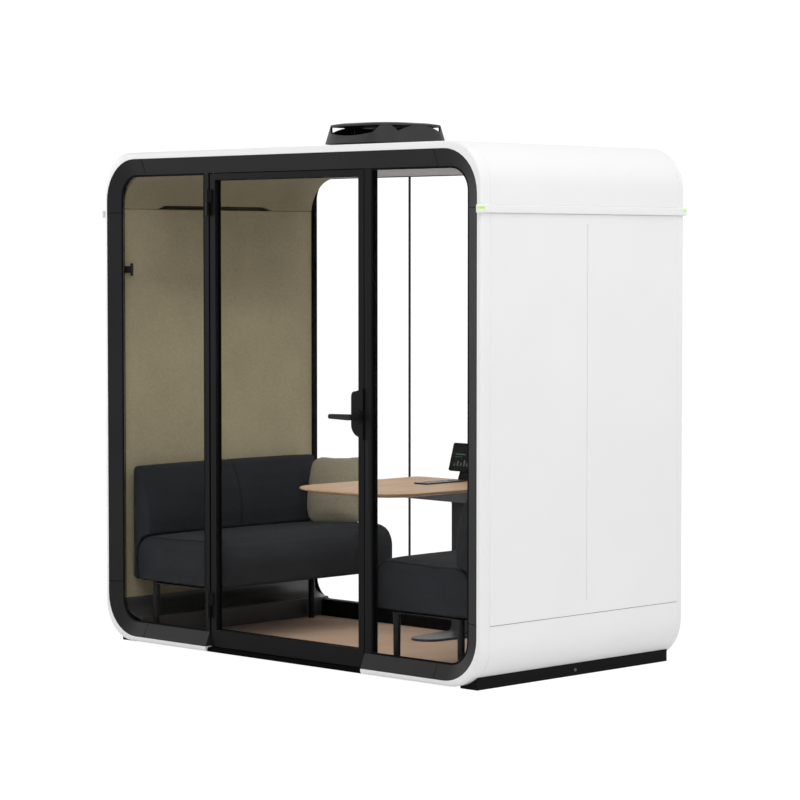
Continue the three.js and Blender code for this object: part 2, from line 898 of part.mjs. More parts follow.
piece('lock_jamb', cut(jamb(doorwayRight, lockJambX), lockChannel, strike), frameBlack);

const thresholdY = frontY + thresholdSetback;
const thresholdTop = shellBottom + thresholdHeight;
const thresholdShape = polygon([
  [thresholdY, shellBottom],
  [shellFrontY - touch, shellBottom],
  [shellFrontY - touch, thresholdTop],
  [thresholdY + thresholdNose, thresholdTop],
  [thresholdY, thresholdTop - thresholdNose],
]);
piece(
  'door_threshold',
  alongX(thresholdShape, doorwayLeft + touch, doorwayRight - touch),
  baseBlack,
);

section('door');

// Door leaf
const innerLeft = doorLeft + stileWidth;
const innerRight = doorRight - stileWidth;
const innerFoot = doorFoot + footRail;
const innerHead = doorHead - headRail;
const leafShape = polygon([
  [doorLeft, doorFoot],
  [doorRight, doorFoot],
  [doorRight, doorHead],
  [doorLeft, doorHead],
]);
const leafOpening = new THREE.Path();
leafOpening.moveTo(innerLeft, innerFoot);
leafOpening.lineTo(innerLeft, innerHead);
leafOpening.lineTo(innerRight, innerHead);
leafOpening.lineTo(innerRight, innerFoot);
leafOpening.closePath();
leafShape.holes.push(leafOpening);
const doorPane = (grow) =>
  box(
    innerLeft - doorGlassBite - grow,
    innerRight + doorGlassBite + grow,
    doorGlassY - grow,
    doorGlassY + glassThickness + grow,
    innerFoot - doorGlassBite - grow,
    innerHead + doorGlassBite + grow,
  );
const mortise = box(
  innerRight - touch,
  spindlePlace + spindleRadius + slip + touch,
  frontFaceY - touch,
  doorBackY + touch,
  spindleHeight - mortiseHeight / 2,
  spindleHeight + mortiseHeight / 2,
);
const boltY = frontFaceY + boltSetback;
const boltZone = (x0, x1, grow) =>
  box(
    x0,
    x1,
    boltY - grow,
    boltY + boltThickness + grow,
    boltMiddle - boltHeight / 2 - grow,
    boltMiddle + boltHeight / 2 + grow,
  );
const boltSlot = boltZone(innerRight - touch, doorRight + touch, slip);
const leaf = alongY(leafShape, frontFaceY, doorBackY);
piece('door_frame', cut(leaf, doorPane(touch), mortise, boltSlot), frameBlack);

const glassNotch = box(
  lockLeft + lockCornerRadius / 2,
  doorRight,
  frontFaceY,
  doorBackY,
  spindleHeight - mortiseHeight / 2,
  boltMiddle + boltHeight / 2 + slip,
);
piece('door_glass', cut(doorPane(0), glassNotch), clearGlass);

const boltTip = doorRight + boltShow;
piece('latch_bolt', boltZone(boltTip - boltLength, boltTip, 0), stripGrey);

// Hinges: each half is a plate on its post and half of the barrel
function hingeHalf(postX, plateX, z0, z1) {
  const plate = box(
    Math.min(postX, plateX),
    Math.max(postX, plateX),
    frontFaceY - touch - hingePlate,
    frontFaceY - touch,
    z0,
    z1,
  );
  const barrel = barZ(hingeX, hingeY, hingeRadius, hingeRadius, z0, z1);
  const web = alongZ(
    polygon([
      [hingeX - hingeRadius * Math.sign(hingeX - postX) * Math.SQRT1_2, hingeY - hingeRadius * Math.SQRT1_2],
      [hingeX + hingeRadius * Math.sign(hingeX - postX) * Math.SQRT1_2, hingeY + hingeRadius * Math.SQRT1_2],
      [postX, frontFaceY - touch],
      [plateX, frontFaceY - touch - hingePlate],
    ]),
    z0,
    z1,
  );
  return join(plate, barrel, web);
}
const pin = (z0, z1) => barZ(hingeX, hingeY, hingePin, hingePin, z0, z1);
function hinge(label, middle) {
  const low = middle - hingeHeight / 2;
  const high = middle + hingeHeight / 2;
  const jambHalf = hingeHalf(doorwayLeft, doorwayLeft - hingeHold, low, middle);
  const doorHalf = hingeHalf(doorLeft, doorLeft + hingeHold, middle + touch, high);
  const pinTop = high - hingePlate;
  const bore = barZ(
    hingeX,
    hingeY,
    hingePin + slip,
    hingePin + slip,
    middle,
    pinTop + slip,
  );
  piece(`hinge_${label}_frame_half`, join(jambHalf, pin(middle - touch, pinTop)), frameBlack);
  piece(`hinge_${label}_door_half`, cut(doorHalf, bore), frameBlack);
}
hinge('upper', doorHead - upperHinge);
hinge('lower', doorFoot + lowerHinge);

// Lock cases: a shaped plate on the stile, with a body behind it where the glass is
const caseShape = new THREE.Shape();
caseShape.moveTo(doorRight, lockFoot);
caseShape.lineTo(doorRight, lockTop);
caseShape.lineTo(lockLeft + lockCornerRadius, lockTop - lockCrown);
caseShape.quadraticCurveTo(lockLeft, lockTop - lockCrown, lockLeft, lockTop - lockCrown - lockCornerRadius);
caseShape.lineTo(lockLeft, lockFoot + lockSlope + lockCornerRadius);
caseShape.quadraticCurveTo(lockLeft, lockFoot + lockSlope, lockLeft + lockCornerRadius, lockFoot + lockSlope / 2);
caseShape.closePath();
const spindleBore = barY(
  spindlePlace,
  spindleHeight,
  spindleRadius + slip,
  frontFaceY - doorThickness,
  doorBackY + doorThickness,
);
const bodyZone = (y0, y1) => box(lockLeft, innerRight - touch, y0, y1, lockFoot, lockTop);
const caseBody = (plateY0, plateY1, bodyY0, bodyY1) =>
  join(
    alongY(caseShape, plateY0, plateY1, 5),
    common(alongY(caseShape, bodyY0, bodyY1, 5), bodyZone(bodyY0, bodyY1)),
  );
const outerFaceY = frontFaceY - touch - lockPlate;
const innerFaceY = doorBackY + touch + lockPlate;
const ring = (y0, y1) =>
  cut(
    barY(spindlePlace, spindleHeight, rosetteRadius, y0, y1, fanSides),
    barY(spindlePlace, spindleHeight, leverNeck + slip, y0 - touch, y1 + touch, fanSides),
  );
const outerCase = join(
  caseBody(outerFaceY, frontFaceY - touch, frontFaceY - touch - slip, doorGlassY - touch),
  ring(outerFaceY - rosetteHeight, outerFaceY + slip),
);
piece('lock_case_outer', cut(outerCase, spindleBore), frameBlack);
const innerCase = join(
  caseBody(doorBackY + touch, innerFaceY, doorGlassY + glassThickness + touch, doorBackY + touch + slip),
  ring(innerFaceY - slip, innerFaceY + rosetteHeight),
);
piece('lock_case_inner', cut(innerCase, spindleBore), frameBlack);

// Levers: a neck and a tapered grip, the spindle on the outer one
const gripShape = new THREE.Shape();
const gripTip = spindlePlace - leverReach;
gripShape.moveTo(spindlePlace, spindleHeight - leverHeight / 2);
gripShape.absarc(spindlePlace, spindleHeight, leverHeight / 2, -Math.PI / 2, Math.PI / 2);
gripShape.lineTo(gripTip + leverTip / 2, spindleHeight + leverTip / 2);
gripShape.absarc(gripTip + leverTip / 2, spindleHeight, leverTip / 2, Math.PI / 2, 1.5 * Math.PI);
gripShape.closePath();
const outerGripY = outerFaceY - leverStandoff;
const innerGripY = innerFaceY + leverStandoff;
piece(
  'lever_outer',
  join(
    alongY(gripShape, outerGripY - leverThickness, outerGripY),
    barY(spindlePlace, spindleHeight, leverNeck, outerGripY - slip, outerFaceY - touch),
    barY(spindlePlace, spindleHeight, spindleRadius, outerFaceY - rosetteHeight, innerFaceY),
  ),
  frameBlack,
);
piece(
  'lever_inner',
  join(
    alongY(gripShape, innerGripY, innerGripY + leverThickness),
    barY(spindlePlace, spindleHeight, leverNeck, innerFaceY + touch, innerGripY + slip),
  ),
  frameBlack,
);

section('lining');

// Lining: felt walls, felt corners that curve into the ceiling, ceiling panel
const liningBody = outlineBody(within(shellEdge, shellWall + touch), liningFrontY, liningRearY);
const wallZone = box(-halfWidth, feltX, liningFrontY, liningRearY, feltBottom, feltSeam);
pair('wall_felt_left', 'wall_felt_right', common(liningBody, wallZone), feltKhaki);

const ceilingEdge = halfWidth - feltInset - ceilingCorner;
const room = alongY(
  roundedRect(feltX, feltBottom, -feltX, ceilingHeight, ceilingCorner),
  liningFrontY - touch,
  liningRearY + touch,
  cornerSteps,
);
const cornerZone = box(
  -halfWidth,
  -ceilingEdge - touch,
  liningFrontY,
  liningRearY,
  feltSeam + feltJoint,
  shellTop,
);
const ventSlot = alongX(
  polygon([
    [ventOffset - ventLow / 2, feltSeam],
    [ventOffset + ventLow / 2, feltSeam],
    [ventOffset + ventHigh / 2, feltSeam + ventHeight],
    [ventOffset - ventHigh / 2, feltSeam + ventHeight],
  ]),
  feltX - ventDepth,
  feltX + ventDepth,
);
const cornerFelt = cut(common(liningBody, cornerZone), room, ventSlot);
pair('corner_felt_left', 'corner_felt_right', cornerFelt, feltKhaki);

const ceilingZone = box(
  -ceilingEdge,
  ceilingEdge,
  liningFrontY,
  liningRearY,
  ceilingHeight,
  shellTop,
);
const slots = Array.from({ length: ceilingSlots }, (_, i) => {
  const y = (i - (ceilingSlots - 1) / 2) * ceilingSlotPitch;
  return box(
    -ceilingSlotLength / 2,
    ceilingSlotLength / 2,
    y - ceilingSlotWidth / 2,
    y + ceilingSlotWidth / 2,
    ceilingHeight - touch,
    shellTop,
  );
});
piece('ceiling_panel', cut(common(liningBody, ceilingZone), ...slots), ceilingGrey);

// Coves: a hollow curve from the felt to the kick, and the kick down to the floor
const coveTop = feltBottom - touch;
const hollow = (grow) =>
  Array.from({ length: coveSteps + 1 }, (_, i) => {
    const angle = Math.PI + (i / coveSteps) * (Math.PI / 2);
    const x = kickX + (kickX - feltX + grow) * Math.cos(angle);
    const z = coveTop + (coveTop - coveHeight + grow) * Math.sin(angle);
    return [x, z];
  });
const kickFoot = floorTop - carpetThickness / 2;
const coveShape = polygon([
  ...hollow(0),
  [kickX, kickFoot],
  [kickX - coveWall, kickFoot],
  [kickX - coveWall, coveHeight - coveWall],
  ...hollow(coveWall).reverse().slice(1),
]);
pair('cove_left', 'cove_right', alongY(coveShape, liningFrontY, liningRearY), coveBlack);

const skirtingTop = floorTop + skirtingHeight;
const skirtingShape = polygon([
  [skirtingY, kickFoot],
  [skirtingY + skirtingWall, kickFoot],
  [skirtingY + skirtingWall, skirtingTop - skirtingWall],
  [liningRearY, skirtingTop - skirtingWall],
  [liningRearY, skirtingTop],
  [skirtingY, skirtingTop],
]);
piece('rear_skirting', alongX(skirtingShape, kickX + touch, -kickX - touch), baseBlack);

// Coat hook: a flat stem with an upright plate at its end
const hookX = feltX + touch;
const hookY = frontY + hookFromFront;
const hookBlock = (x0, x1, wide, tall) =>
  alongX(
    roundedRect(hookY - wide / 2, hookRise - tall / 2, hookY + wide / 2, hookRise + tall / 2, hookRound),
    x0,
    x1,
    3,
  );
const hookEnd = hookX + hookReach;
const hookPlate = hookBlock(hookEnd - hookPlateThickness, hookEnd, hookPlateWidth, hookPlateHeight);
const hookStem = hookBlock(hookX, hookEnd - slip, hookStemWidth, hookStemHeight);
piece('coat_hook', join(hookStem, hookPlate), frameBlack);

section('furniture');

// Sofa seat: a block with a full top, rounded along its front and back
function cornerRing(x0, x1, z0, z1, radii) {
  const centres = [
    [x0 + radii[0], z0 + radii[0]],
    [x1 - radii[1], z0 + radii[1]],
    [x1 - radii[2], z1 - radii[2]],
    [x0 + radii[3], z1 - radii[3]],
  ];
  return centres.flatMap(([x, z], corner) =>
    Array.from({ length: cushionSteps + 1 }, (_, i) => {
      const angle = (corner + 2 + i / cushionSteps) * (Math.PI / 2);
      return new THREE.Vector2(x + radii[corner] * Math.cos(angle), z + radii[corner] * Math.sin(angle));
    }),
  );
}
const backX = feltX + sofaWallGap;
const seatX = backX + seatBackGap;
const seatFall = (x) => seatRake * (1 - (x - seatX) / seatDepth);
const seatRing = cornerRing(seatX, seatX + seatDepth, seatBottom, seatTop, [
  seatLowRadius,
  seatLowRadius,
  seatFrontRadius,
  seatBackRadius,
]).map(({ x, y }) => new THREE.Vector2(x, y - seatFall(x) * ((y - seatBottom) / seatThickness)));
const seatStations = stations(sofaFrontY, sofaRearY, seatEdge, [0.08, 0.2, 0.35, 0.5, 0.65, 0.8, 0.92]);
const seat = loft(
  seatStations.map(({ y, inset, full }) => lift(shrunk(seatRing, inset, seatCrown * full), y)),
);
pair('sofa_left_seat', 'sofa_right_seat', seat, sofaNavy);

// Sofa back: thin at the top, fuller at the seat, with a sewn channel down the middle, nested on
// the seat's rounded back
const backFoot = seatBottom + backClear;
const backTop = backFoot + backRise;
const backFront = new THREE.QuadraticBezierCurve(
  new THREE.Vector2(backX + backThick, seatTop),
  new THREE.Vector2(backX + backThick + backBelly, (seatTop + backTop) / 2),
  new THREE.Vector2(backX + backThin, backTop - backEdge),
);
const arc = (x, z, from, to) =>
  Array.from({ length: cushionSteps }, (_, i) => {
    const angle = from + ((to - from) * (i + 1)) / (cushionSteps + 1);
    return new THREE.Vector2(x + backEdge * Math.cos(angle), z + backEdge * Math.sin(angle));
  });
const backRing = [
  new THREE.Vector2(backX + backEdge, backFoot),
  new THREE.Vector2(backX + backThick, backFoot),
  ...backFront.getPoints(cushionSteps),
  ...arc(backX + backThin - backEdge, backTop - backEdge, 0, Math.PI / 2),
  new THREE.Vector2(backX + backThin - backEdge, backTop),
  new THREE.Vector2(backX + backEdge, backTop),
  ...arc(backX + backEdge, backTop - backEdge, Math.PI / 2, Math.PI),
  new THREE.Vector2(backX, backTop - backEdge),
  new THREE.Vector2(backX, backFoot + backEdge),
  ...arc(backX + backEdge, backFoot + backEdge, Math.PI, 1.5 * Math.PI),
];
const sofaMiddle = (sofaFrontY + sofaRearY) / 2;
const backStations = stations(sofaFrontY, sofaRearY, backEdge / 2, [0.1, 0.25, 0.4, 0.6, 0.75, 0.9]);
const channelStations = [-1, 0, 1].map((side) => ({
  y: sofaMiddle + (side * channelWidth) / 2,
  inset: 0,
  full: side === 0 ? 1 - channelDepth / backCrown : 1,
}));
const allStations = [...backStations, ...channelStations].sort((a, b) => a.y - b.y);
const backPad = loft(
  allStations.map(({ y, inset, full }) => lift(shrunk(backRing, inset, backCrown * full), y)),
);
const seatSpace = loft(
  [sofaFrontY - seatEdge, sofaRearY + seatEdge].map((y) =>
    lift(shrunk(seatRing, -seatCrown - touch), y),
  ),
);
pair('sofa_left_back', 'sofa_right_back', cut(backPad, seatSpace), sofaNavy);

// Sofa underframe: four tapered legs welded to a ring of rails
const legX = [feltX + legFromWall, feltX + legFromWall + legSpread];
const legY = [sofaFrontY + legFromFront, sofaRearY - legFromRear];
const frameTop = seatBottom - seatCrown - touch;
const legs = legX.flatMap((x) =>
  legY.map((y) => barZ(x, y, legFootRadius, legRadius, floorTop + touch, frameTop)),
);
const crossRails = legY.map((y) =>
  box(legX[0], legX[1], y - railWidth / 2, y + railWidth / 2, frameTop - railSection, frameTop),
);
const longRails = legX.map((x) =>
  box(x - railWidth / 2, x + railWidth / 2, legY[0], legY[1], frameTop - railSection, frameTop),
);
const underframe = join(...legs.slice(0, 1), ...crossRails, ...longRails, ...legs.slice(1));
pair('sofa_left_underframe', 'sofa_right_underframe', underframe, graphite);

// Pillow: full in the middle, thin at its edges, standing in the rear corner of the left sofa
const pillowRing = (share) => {
  const side = 1 - Math.abs(share) ** 5;
  const tall = (pillowHeight / 2) * (0.06 + 0.94 * side ** 0.25) * (1 - pillowDraw * (1 - share ** 2));
  const thick = (pillowThickness / 2) * (0.08 + 0.92 * (1 - share ** 2) ** 0.6);
  return Array.from({ length: pillowSides }, (_, i) => {
    const angle = (i / pillowSides) * 2 * Math.PI;
    const up = Math.sign(Math.sin(angle)) * Math.abs(Math.sin(angle)) ** 0.8;
    const out = Math.sign(Math.cos(angle)) * Math.abs(Math.cos(angle)) ** 1.15;
    return new THREE.Vector3((share * pillowWidth) / 2, thick * out, tall * up);
  });
};
const pillowShares = Array.from({ length: pillowRings + 1 }, (_, i) =>
  Math.sin(((i / pillowRings) * 2 - 1) * (Math.PI / 2)),
);
const pillowForm = skin(pillowShares.map(pillowRing), false);
pillowForm.rotateX(-THREE.MathUtils.degToRad(pillowLean));
pillowForm.rotateY(-Math.atan(seatRake / seatDepth));
pillowForm.rotateZ(THREE.MathUtils.degToRad(pillowYaw));
pillowForm.computeBoundingBox();
const pillowBox = pillowForm.boundingBox;
pillowForm.translate(
  backX + backThick + backBelly / 2 + pillowWallGap - pillowBox.min.x,
  liningRearY - pillowRearGap - pillowBox.max.y,
  seatTop + seatCrown + touch - pillowBox.min.z,
);
piece('pillow', solid(pillowForm), pillowKhaki);

// Table top: a rounded front, square-rimmed and undercut
function tableRing(z, inset) {
  const half = tableWidth / 2 - inset;
  const front = tableRearY - tableLength + inset;
  const rear = tableRearY - inset;
  const radii = [tableFrontRadius, tableFrontRadius, tableRearRadius, tableRearRadius];
  const turned = radii.map((radius) => Math.max(radius - inset, tableRim));
  const middle = (front + rear) / 2;
  const centres = [
    [-half + turned[0], front + turned[0]],
    [half - turned[1], front + turned[1]],
    [half - turned[2], rear - turned[2]],
    [-half + turned[3], rear - turned[3]],
  ];
  const edge = centres.flatMap(([x, y], corner) =>
    Array.from({ length: tableSteps + 1 }, (_, i) => {
      const angle = (corner + 2 + i / tableSteps) * (Math.PI / 2);
      return [x + turned[corner] * Math.cos(angle), y + turned[corner] * Math.sin(angle)];
    }),
  );
  const bowed = Array.from({ length: tableSteps }, (_, i) => {
    const share = ((i + 1) / (tableSteps + 1)) * 2 - 1;
    return [share * (half - turned[0]), front];
  });
  const loop = [...edge.slice(0, tableSteps + 1), ...bowed, ...edge.slice(tableSteps + 1)];
  return loop.map(([x, y]) => {
    const weight = Math.max(0, (middle - y) / (middle - front));
    return new THREE.Vector3(x, y + tableBow * (x / half) ** 2 * weight, z);
  });
}
piece(
  'table_top',
  loft([
    tableRing(tableUnder, tableUndercut),
    tableRing(tableTop - tableRim, 0),
    tableRing(tableTop, 0),
  ]),
  tableOak,
);

// Table leg: tapered beam, column and a rounded foot, in one
const legShape = new THREE.Shape();
const footTop = floorTop + touch + footThickness;
const beamUnder = tableUnder - touch - beamDepth;
legShape.moveTo(columnRearY, floorTop + touch);
legShape.lineTo(columnRearY, tableUnder - touch);
legShape.lineTo(columnFrontY - beamReach, tableUnder - touch);
legShape.lineTo(columnFrontY - beamReach, tableUnder - touch - beamTip);
legShape.lineTo(columnFrontY - beamTip, beamUnder);
legShape.quadraticCurveTo(columnFrontY, beamUnder, columnFrontY, beamUnder - beamTip);
legShape.lineTo(columnFrontY, footTop + columnFillet);
legShape.quadraticCurveTo(columnFrontY, footTop, columnFrontY - columnFillet, footTop);
legShape.lineTo(columnFrontY - columnFillet, floorTop + touch);
legShape.closePath();
const tongue = new THREE.Shape();
const footFrontY = columnFrontY - footLength;
const footRound = footFrontWidth / 2;
tongue.moveTo(footRearWidth / 2, columnRearY);
tongue.lineTo(-footRearWidth / 2, columnRearY);
tongue.lineTo(-footRound, footFrontY + footRound);
tongue.absarc(0, footFrontY + footRound, footRound, Math.PI, 2 * Math.PI);
tongue.closePath();
piece(
  'table_leg',
  join(
    alongX(legShape, -columnWidth / 2, columnWidth / 2, 5),
    alongZ(tongue, floorTop + touch, footTop, 12),
  ),
  graphite,
);

// Power strip: a low bar let on to the table, with a recess for each outlet
const stripRearY = columnFrontY - stripFromColumn;
const stripBar = alongZ(
  roundedRect(-stripWidth / 2, stripRearY - stripLength, stripWidth / 2, stripRearY, stripHeight),
  tableTop + touch,
  tableTop + touch + stripHeight,
  4,
);
const sockets = Array.from({ length: stripSockets }, (_, i) => {
  const y = stripRearY - stripLength / 2 + (i - (stripSockets - 1) / 2) * socketPitch;
  return box(
    -socketWidth / 2,
    socketWidth / 2,
    y - socketLength / 2,
    y + socketLength / 2,
    tableTop + touch + stripHeight - socketDepth,
    tableTop + touch + stripHeight + touch,
  );
});
piece('power_strip', cut(stripBar, ...sockets), stripGrey);

// Display: a tilted panel with a sunk screen, on a neck that widens to its foot
const panel = extruded(
  roundedRect(-displayWidth / 2, 0, displayWidth / 2, displayHeight, displayRadius),
  displayThickness,
  4,
);
const screen = new THREE.BoxGeometry(
  displayWidth - 2 * displayBezel,
  displayHeight - 2 * displayBezel,
  2 * displayRecess,
).translate(0, displayHeight / 2, displayThickness);
const stand = new THREE.ExtrudeGeometry(
  polygon([
    [-neckFoot / 2, -displayClear],
    [neckFoot / 2, -displayClear],
    [neckWidth / 2, displayHeight / 3],
    [-neckWidth / 2, displayHeight / 3],
  ]),
  { depth: neckThickness, bevelEnabled: false },
).translate(0, 0, displayRecess - neckThickness);
const tilted = (geometry) =>
  solid(
    geometry
      .rotateX(Math.PI / 2 - THREE.MathUtils.degToRad(displayTilt))
      .translate(0, tableRearY - displayFromRear, tableTop + displayClear),
  );
const footPlane = box(
  -displayWidth,
  displayWidth,
  frontY,
  rearY,
  floorTop,
  tableTop + touch,
);
const displayBody = cut(join(tilted(panel), tilted(stand)), tilted(screen), footPlane);
piece('display', displayBody, screenDark);

section('ventilator');

// Roof ventilator: a plinth, a tapered cowl with an opening in each face, and a domed cap
function squareRing(width, z) {
  const radius = width * fanRound;
  const reach = width / 2 - radius;
  return Array.from({ length: 4 }, (_, corner) =>
    Array.from({ length: fanSteps + 1 }, (_unused, i) => {
      const angle = (corner + i / fanSteps) * (Math.PI / 2);
      const sideX = corner === 0 || corner === 3 ? 1 : -1;
      const sideY = corner < 2 ? 1 : -1;
      const x = sideX * reach + radius * Math.cos(angle);
      const y = sideY * reach + radius * Math.sin(angle);
      return new THREE.Vector3(x, y, z);
    }),
  ).flat();
}
const roofZ = shellTop + touch;
const cowlFoot = roofZ + fanPlinthHeight;
const capZ = roofZ + fanHeight;
const cowlOuter = loft([
  squareRing(fanFoot, cowlFoot),
  squareRing(fanCrown, capZ),
  squareRing(fanCrown * 0.8, capZ + fanDome * 0.7),
  squareRing(fanCrown * 0.4, capZ + fanDome),
]);
const cowlHollow = loft([
  squareRing(fanFoot - 2 * fanWall, cowlFoot - touch),
  squareRing(fanCrown - 2 * fanWall, capZ - fanWall),
]);
const plinthBand = cut(
  loft([squareRing(fanPlinth, roofZ), squareRing(fanPlinth, cowlFoot + fanWall)]),
  loft([
    squareRing(fanPlinth - 2 * fanWall, roofZ - touch),
    squareRing(fanPlinth - 2 * fanWall, cowlFoot + fanWall + touch),
  ]),
);
const rimShelf = cut(
  loft([
    squareRing(fanFoot - fanWall, cowlFoot),
    squareRing(fanFoot - fanWall - touch, cowlFoot + fanWall),
  ]),
  loft([
    squareRing(fanPlinth - 2 * fanWall, cowlFoot - touch),
    squareRing(fanPlinth - 2 * fanWall, cowlFoot + fanWall + touch),
  ]),
);
const openingTopReach = fanCrown / 2 - fanPillar;
const openingLowReach = openingTopReach - fanSplay;
const openingEdgeZ = roofZ + fanOpeningHigh;
const bowed = (share, end, middle) => roofZ + end + (middle - end) * (1 - share ** 2);
const shares = Array.from({ length: 2 * fanSteps + 1 }, (_, i) => i / fanSteps - 1);
const mouth = polygon([
  ...shares.map((share) => [share * openingLowReach, bowed(share, fanMouthEnd, fanMouthLow)]),
  [openingTopReach, openingEdgeZ],
  [-openingTopReach, openingEdgeZ],
]);
const archReach = Math.sqrt((fanArchPeak - fanOpeningHigh) / (fanArchPeak - fanArchEnd));
const archShares = Array.from(
  { length: fanSteps + 1 },
  (_, i) => 1 - (1 - archReach) * (i / fanSteps),
);
const archGap = (side) =>
  polygon([
    [side * openingTopReach, openingEdgeZ],
    ...archShares.map((share) => [
      side * share * openingLowReach,
      bowed(share, fanArchEnd, fanArchPeak),
    ]),
  ]);
const windows = join(
  alongY(mouth, -fanFoot, 0),
  ...[-1, 1].map((side) => alongY(archGap(side), 0, fanFoot)),
  ...[-1, 1].map((side) => alongX(archGap(side), -fanFoot, fanFoot)),
);
const spider = join(
  barZ(0, 0, motorRadius, motorRadius, roofZ, roofZ + motorTop, fanSides),
  box(
    -fanPlinth / 2 + fanWall / 2,
    fanPlinth / 2 - fanWall / 2,
    -spiderWidth / 2,
    spiderWidth / 2,
    roofZ,
    roofZ + spiderHeight,
  ),
  box(
    -spiderWidth / 2,
    spiderWidth / 2,
    -fanPlinth / 2 + fanWall / 2,
    fanPlinth / 2 - fanWall / 2,
    roofZ,
    roofZ + spiderHeight,
  ),
);
const cowl = join(cut(cowlOuter, cowlHollow, windows), rimShelf, plinthBand, spider);
piece('fan_cowl', cowl, fanBlack);

// Rotor: a hub on the motor and swept blades
const rotorZ = roofZ + motorTop + slip;
function blade(turn) {
  const inner = rotorHub * 0.8;
  const path = Array.from({ length: cushionSteps + 1 }, (_, i) => {
    const share = i / cushionSteps;
    const radius = inner + share * (rotorRadius - inner);
    const angle = turn + share * rotorSweep;
    return [radius, angle];
  });
  const edge = (half) =>
    path.map(([radius, angle]) => [
      radius * Math.cos(angle + half / radius),
      radius * Math.sin(angle + half / radius),
    ]);
  const shape = polygon([...edge(-rotorBlade / 2), ...edge(rotorBlade / 2).reverse()]);
  return alongZ(shape, rotorZ, rotorZ + rotorHeight);
}
const hub = barZ(0, 0, rotorHub, rotorHub, rotorZ, rotorZ + rotorHeight, fanSides);
const blades = Array.from({ length: rotorBlades }, (_, i) => blade((i / rotorBlades) * 2 * Math.PI));
piece('fan_rotor', join(hub, ...blades), fanBlack);

export default pod;
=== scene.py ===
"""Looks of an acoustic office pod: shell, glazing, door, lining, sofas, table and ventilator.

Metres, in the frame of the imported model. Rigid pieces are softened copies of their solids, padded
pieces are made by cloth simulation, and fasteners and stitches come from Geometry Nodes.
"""

import json
import logging
import math
from dataclasses import dataclass, field
from enum import Enum
from typing import Callable, Iterable, Optional, Sequence, Union

import bmesh
import bpy
from mathutils import Matrix, Vector
from mathutils.bvhtree import BVHTree


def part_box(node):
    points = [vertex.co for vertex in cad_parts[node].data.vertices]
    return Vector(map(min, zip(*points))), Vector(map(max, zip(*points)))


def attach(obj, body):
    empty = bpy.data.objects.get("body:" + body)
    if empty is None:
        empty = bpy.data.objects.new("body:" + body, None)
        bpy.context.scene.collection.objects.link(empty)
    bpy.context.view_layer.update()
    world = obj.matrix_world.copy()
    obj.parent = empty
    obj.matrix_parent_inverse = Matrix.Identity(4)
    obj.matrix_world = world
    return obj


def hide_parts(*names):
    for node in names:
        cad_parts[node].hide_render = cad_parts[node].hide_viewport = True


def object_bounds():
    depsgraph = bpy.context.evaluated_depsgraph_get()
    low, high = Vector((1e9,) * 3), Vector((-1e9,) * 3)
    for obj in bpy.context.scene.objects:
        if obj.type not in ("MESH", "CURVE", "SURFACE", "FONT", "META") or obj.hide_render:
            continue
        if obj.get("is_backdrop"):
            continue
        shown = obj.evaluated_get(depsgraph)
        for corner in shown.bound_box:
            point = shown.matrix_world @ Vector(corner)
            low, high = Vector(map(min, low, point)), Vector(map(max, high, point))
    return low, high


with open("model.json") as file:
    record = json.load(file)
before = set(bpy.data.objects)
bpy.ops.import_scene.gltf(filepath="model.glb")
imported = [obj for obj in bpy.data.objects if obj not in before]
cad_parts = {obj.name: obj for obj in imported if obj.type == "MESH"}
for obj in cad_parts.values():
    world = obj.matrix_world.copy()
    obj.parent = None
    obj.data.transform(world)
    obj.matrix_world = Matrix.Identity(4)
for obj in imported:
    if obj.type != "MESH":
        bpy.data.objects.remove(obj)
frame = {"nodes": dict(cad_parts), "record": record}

logging.basicConfig(level=logging.INFO, format="%(name)s: %(message)s")
log = logging.getLogger("pod")

Point = tuple[float, float, float]
Colour = tuple[float, float, float]
Value = Union[float, Sequence[float], bpy.types.NodeSocket]


class Side(Enum):
    """The two sides of the pod, as the sign of X."""

    LEFT = -1
    RIGHT = 1

    @property
    def word(self) -> str:
        """The side's word in piece names."""
        return self.name.lower()


class Cloth(Enum):
    """Ways that a cloth's surface is made."""

    WEAVE = "weave"
    KNIT = "knit"
    FELT = "felt"
    PILE = "pile"


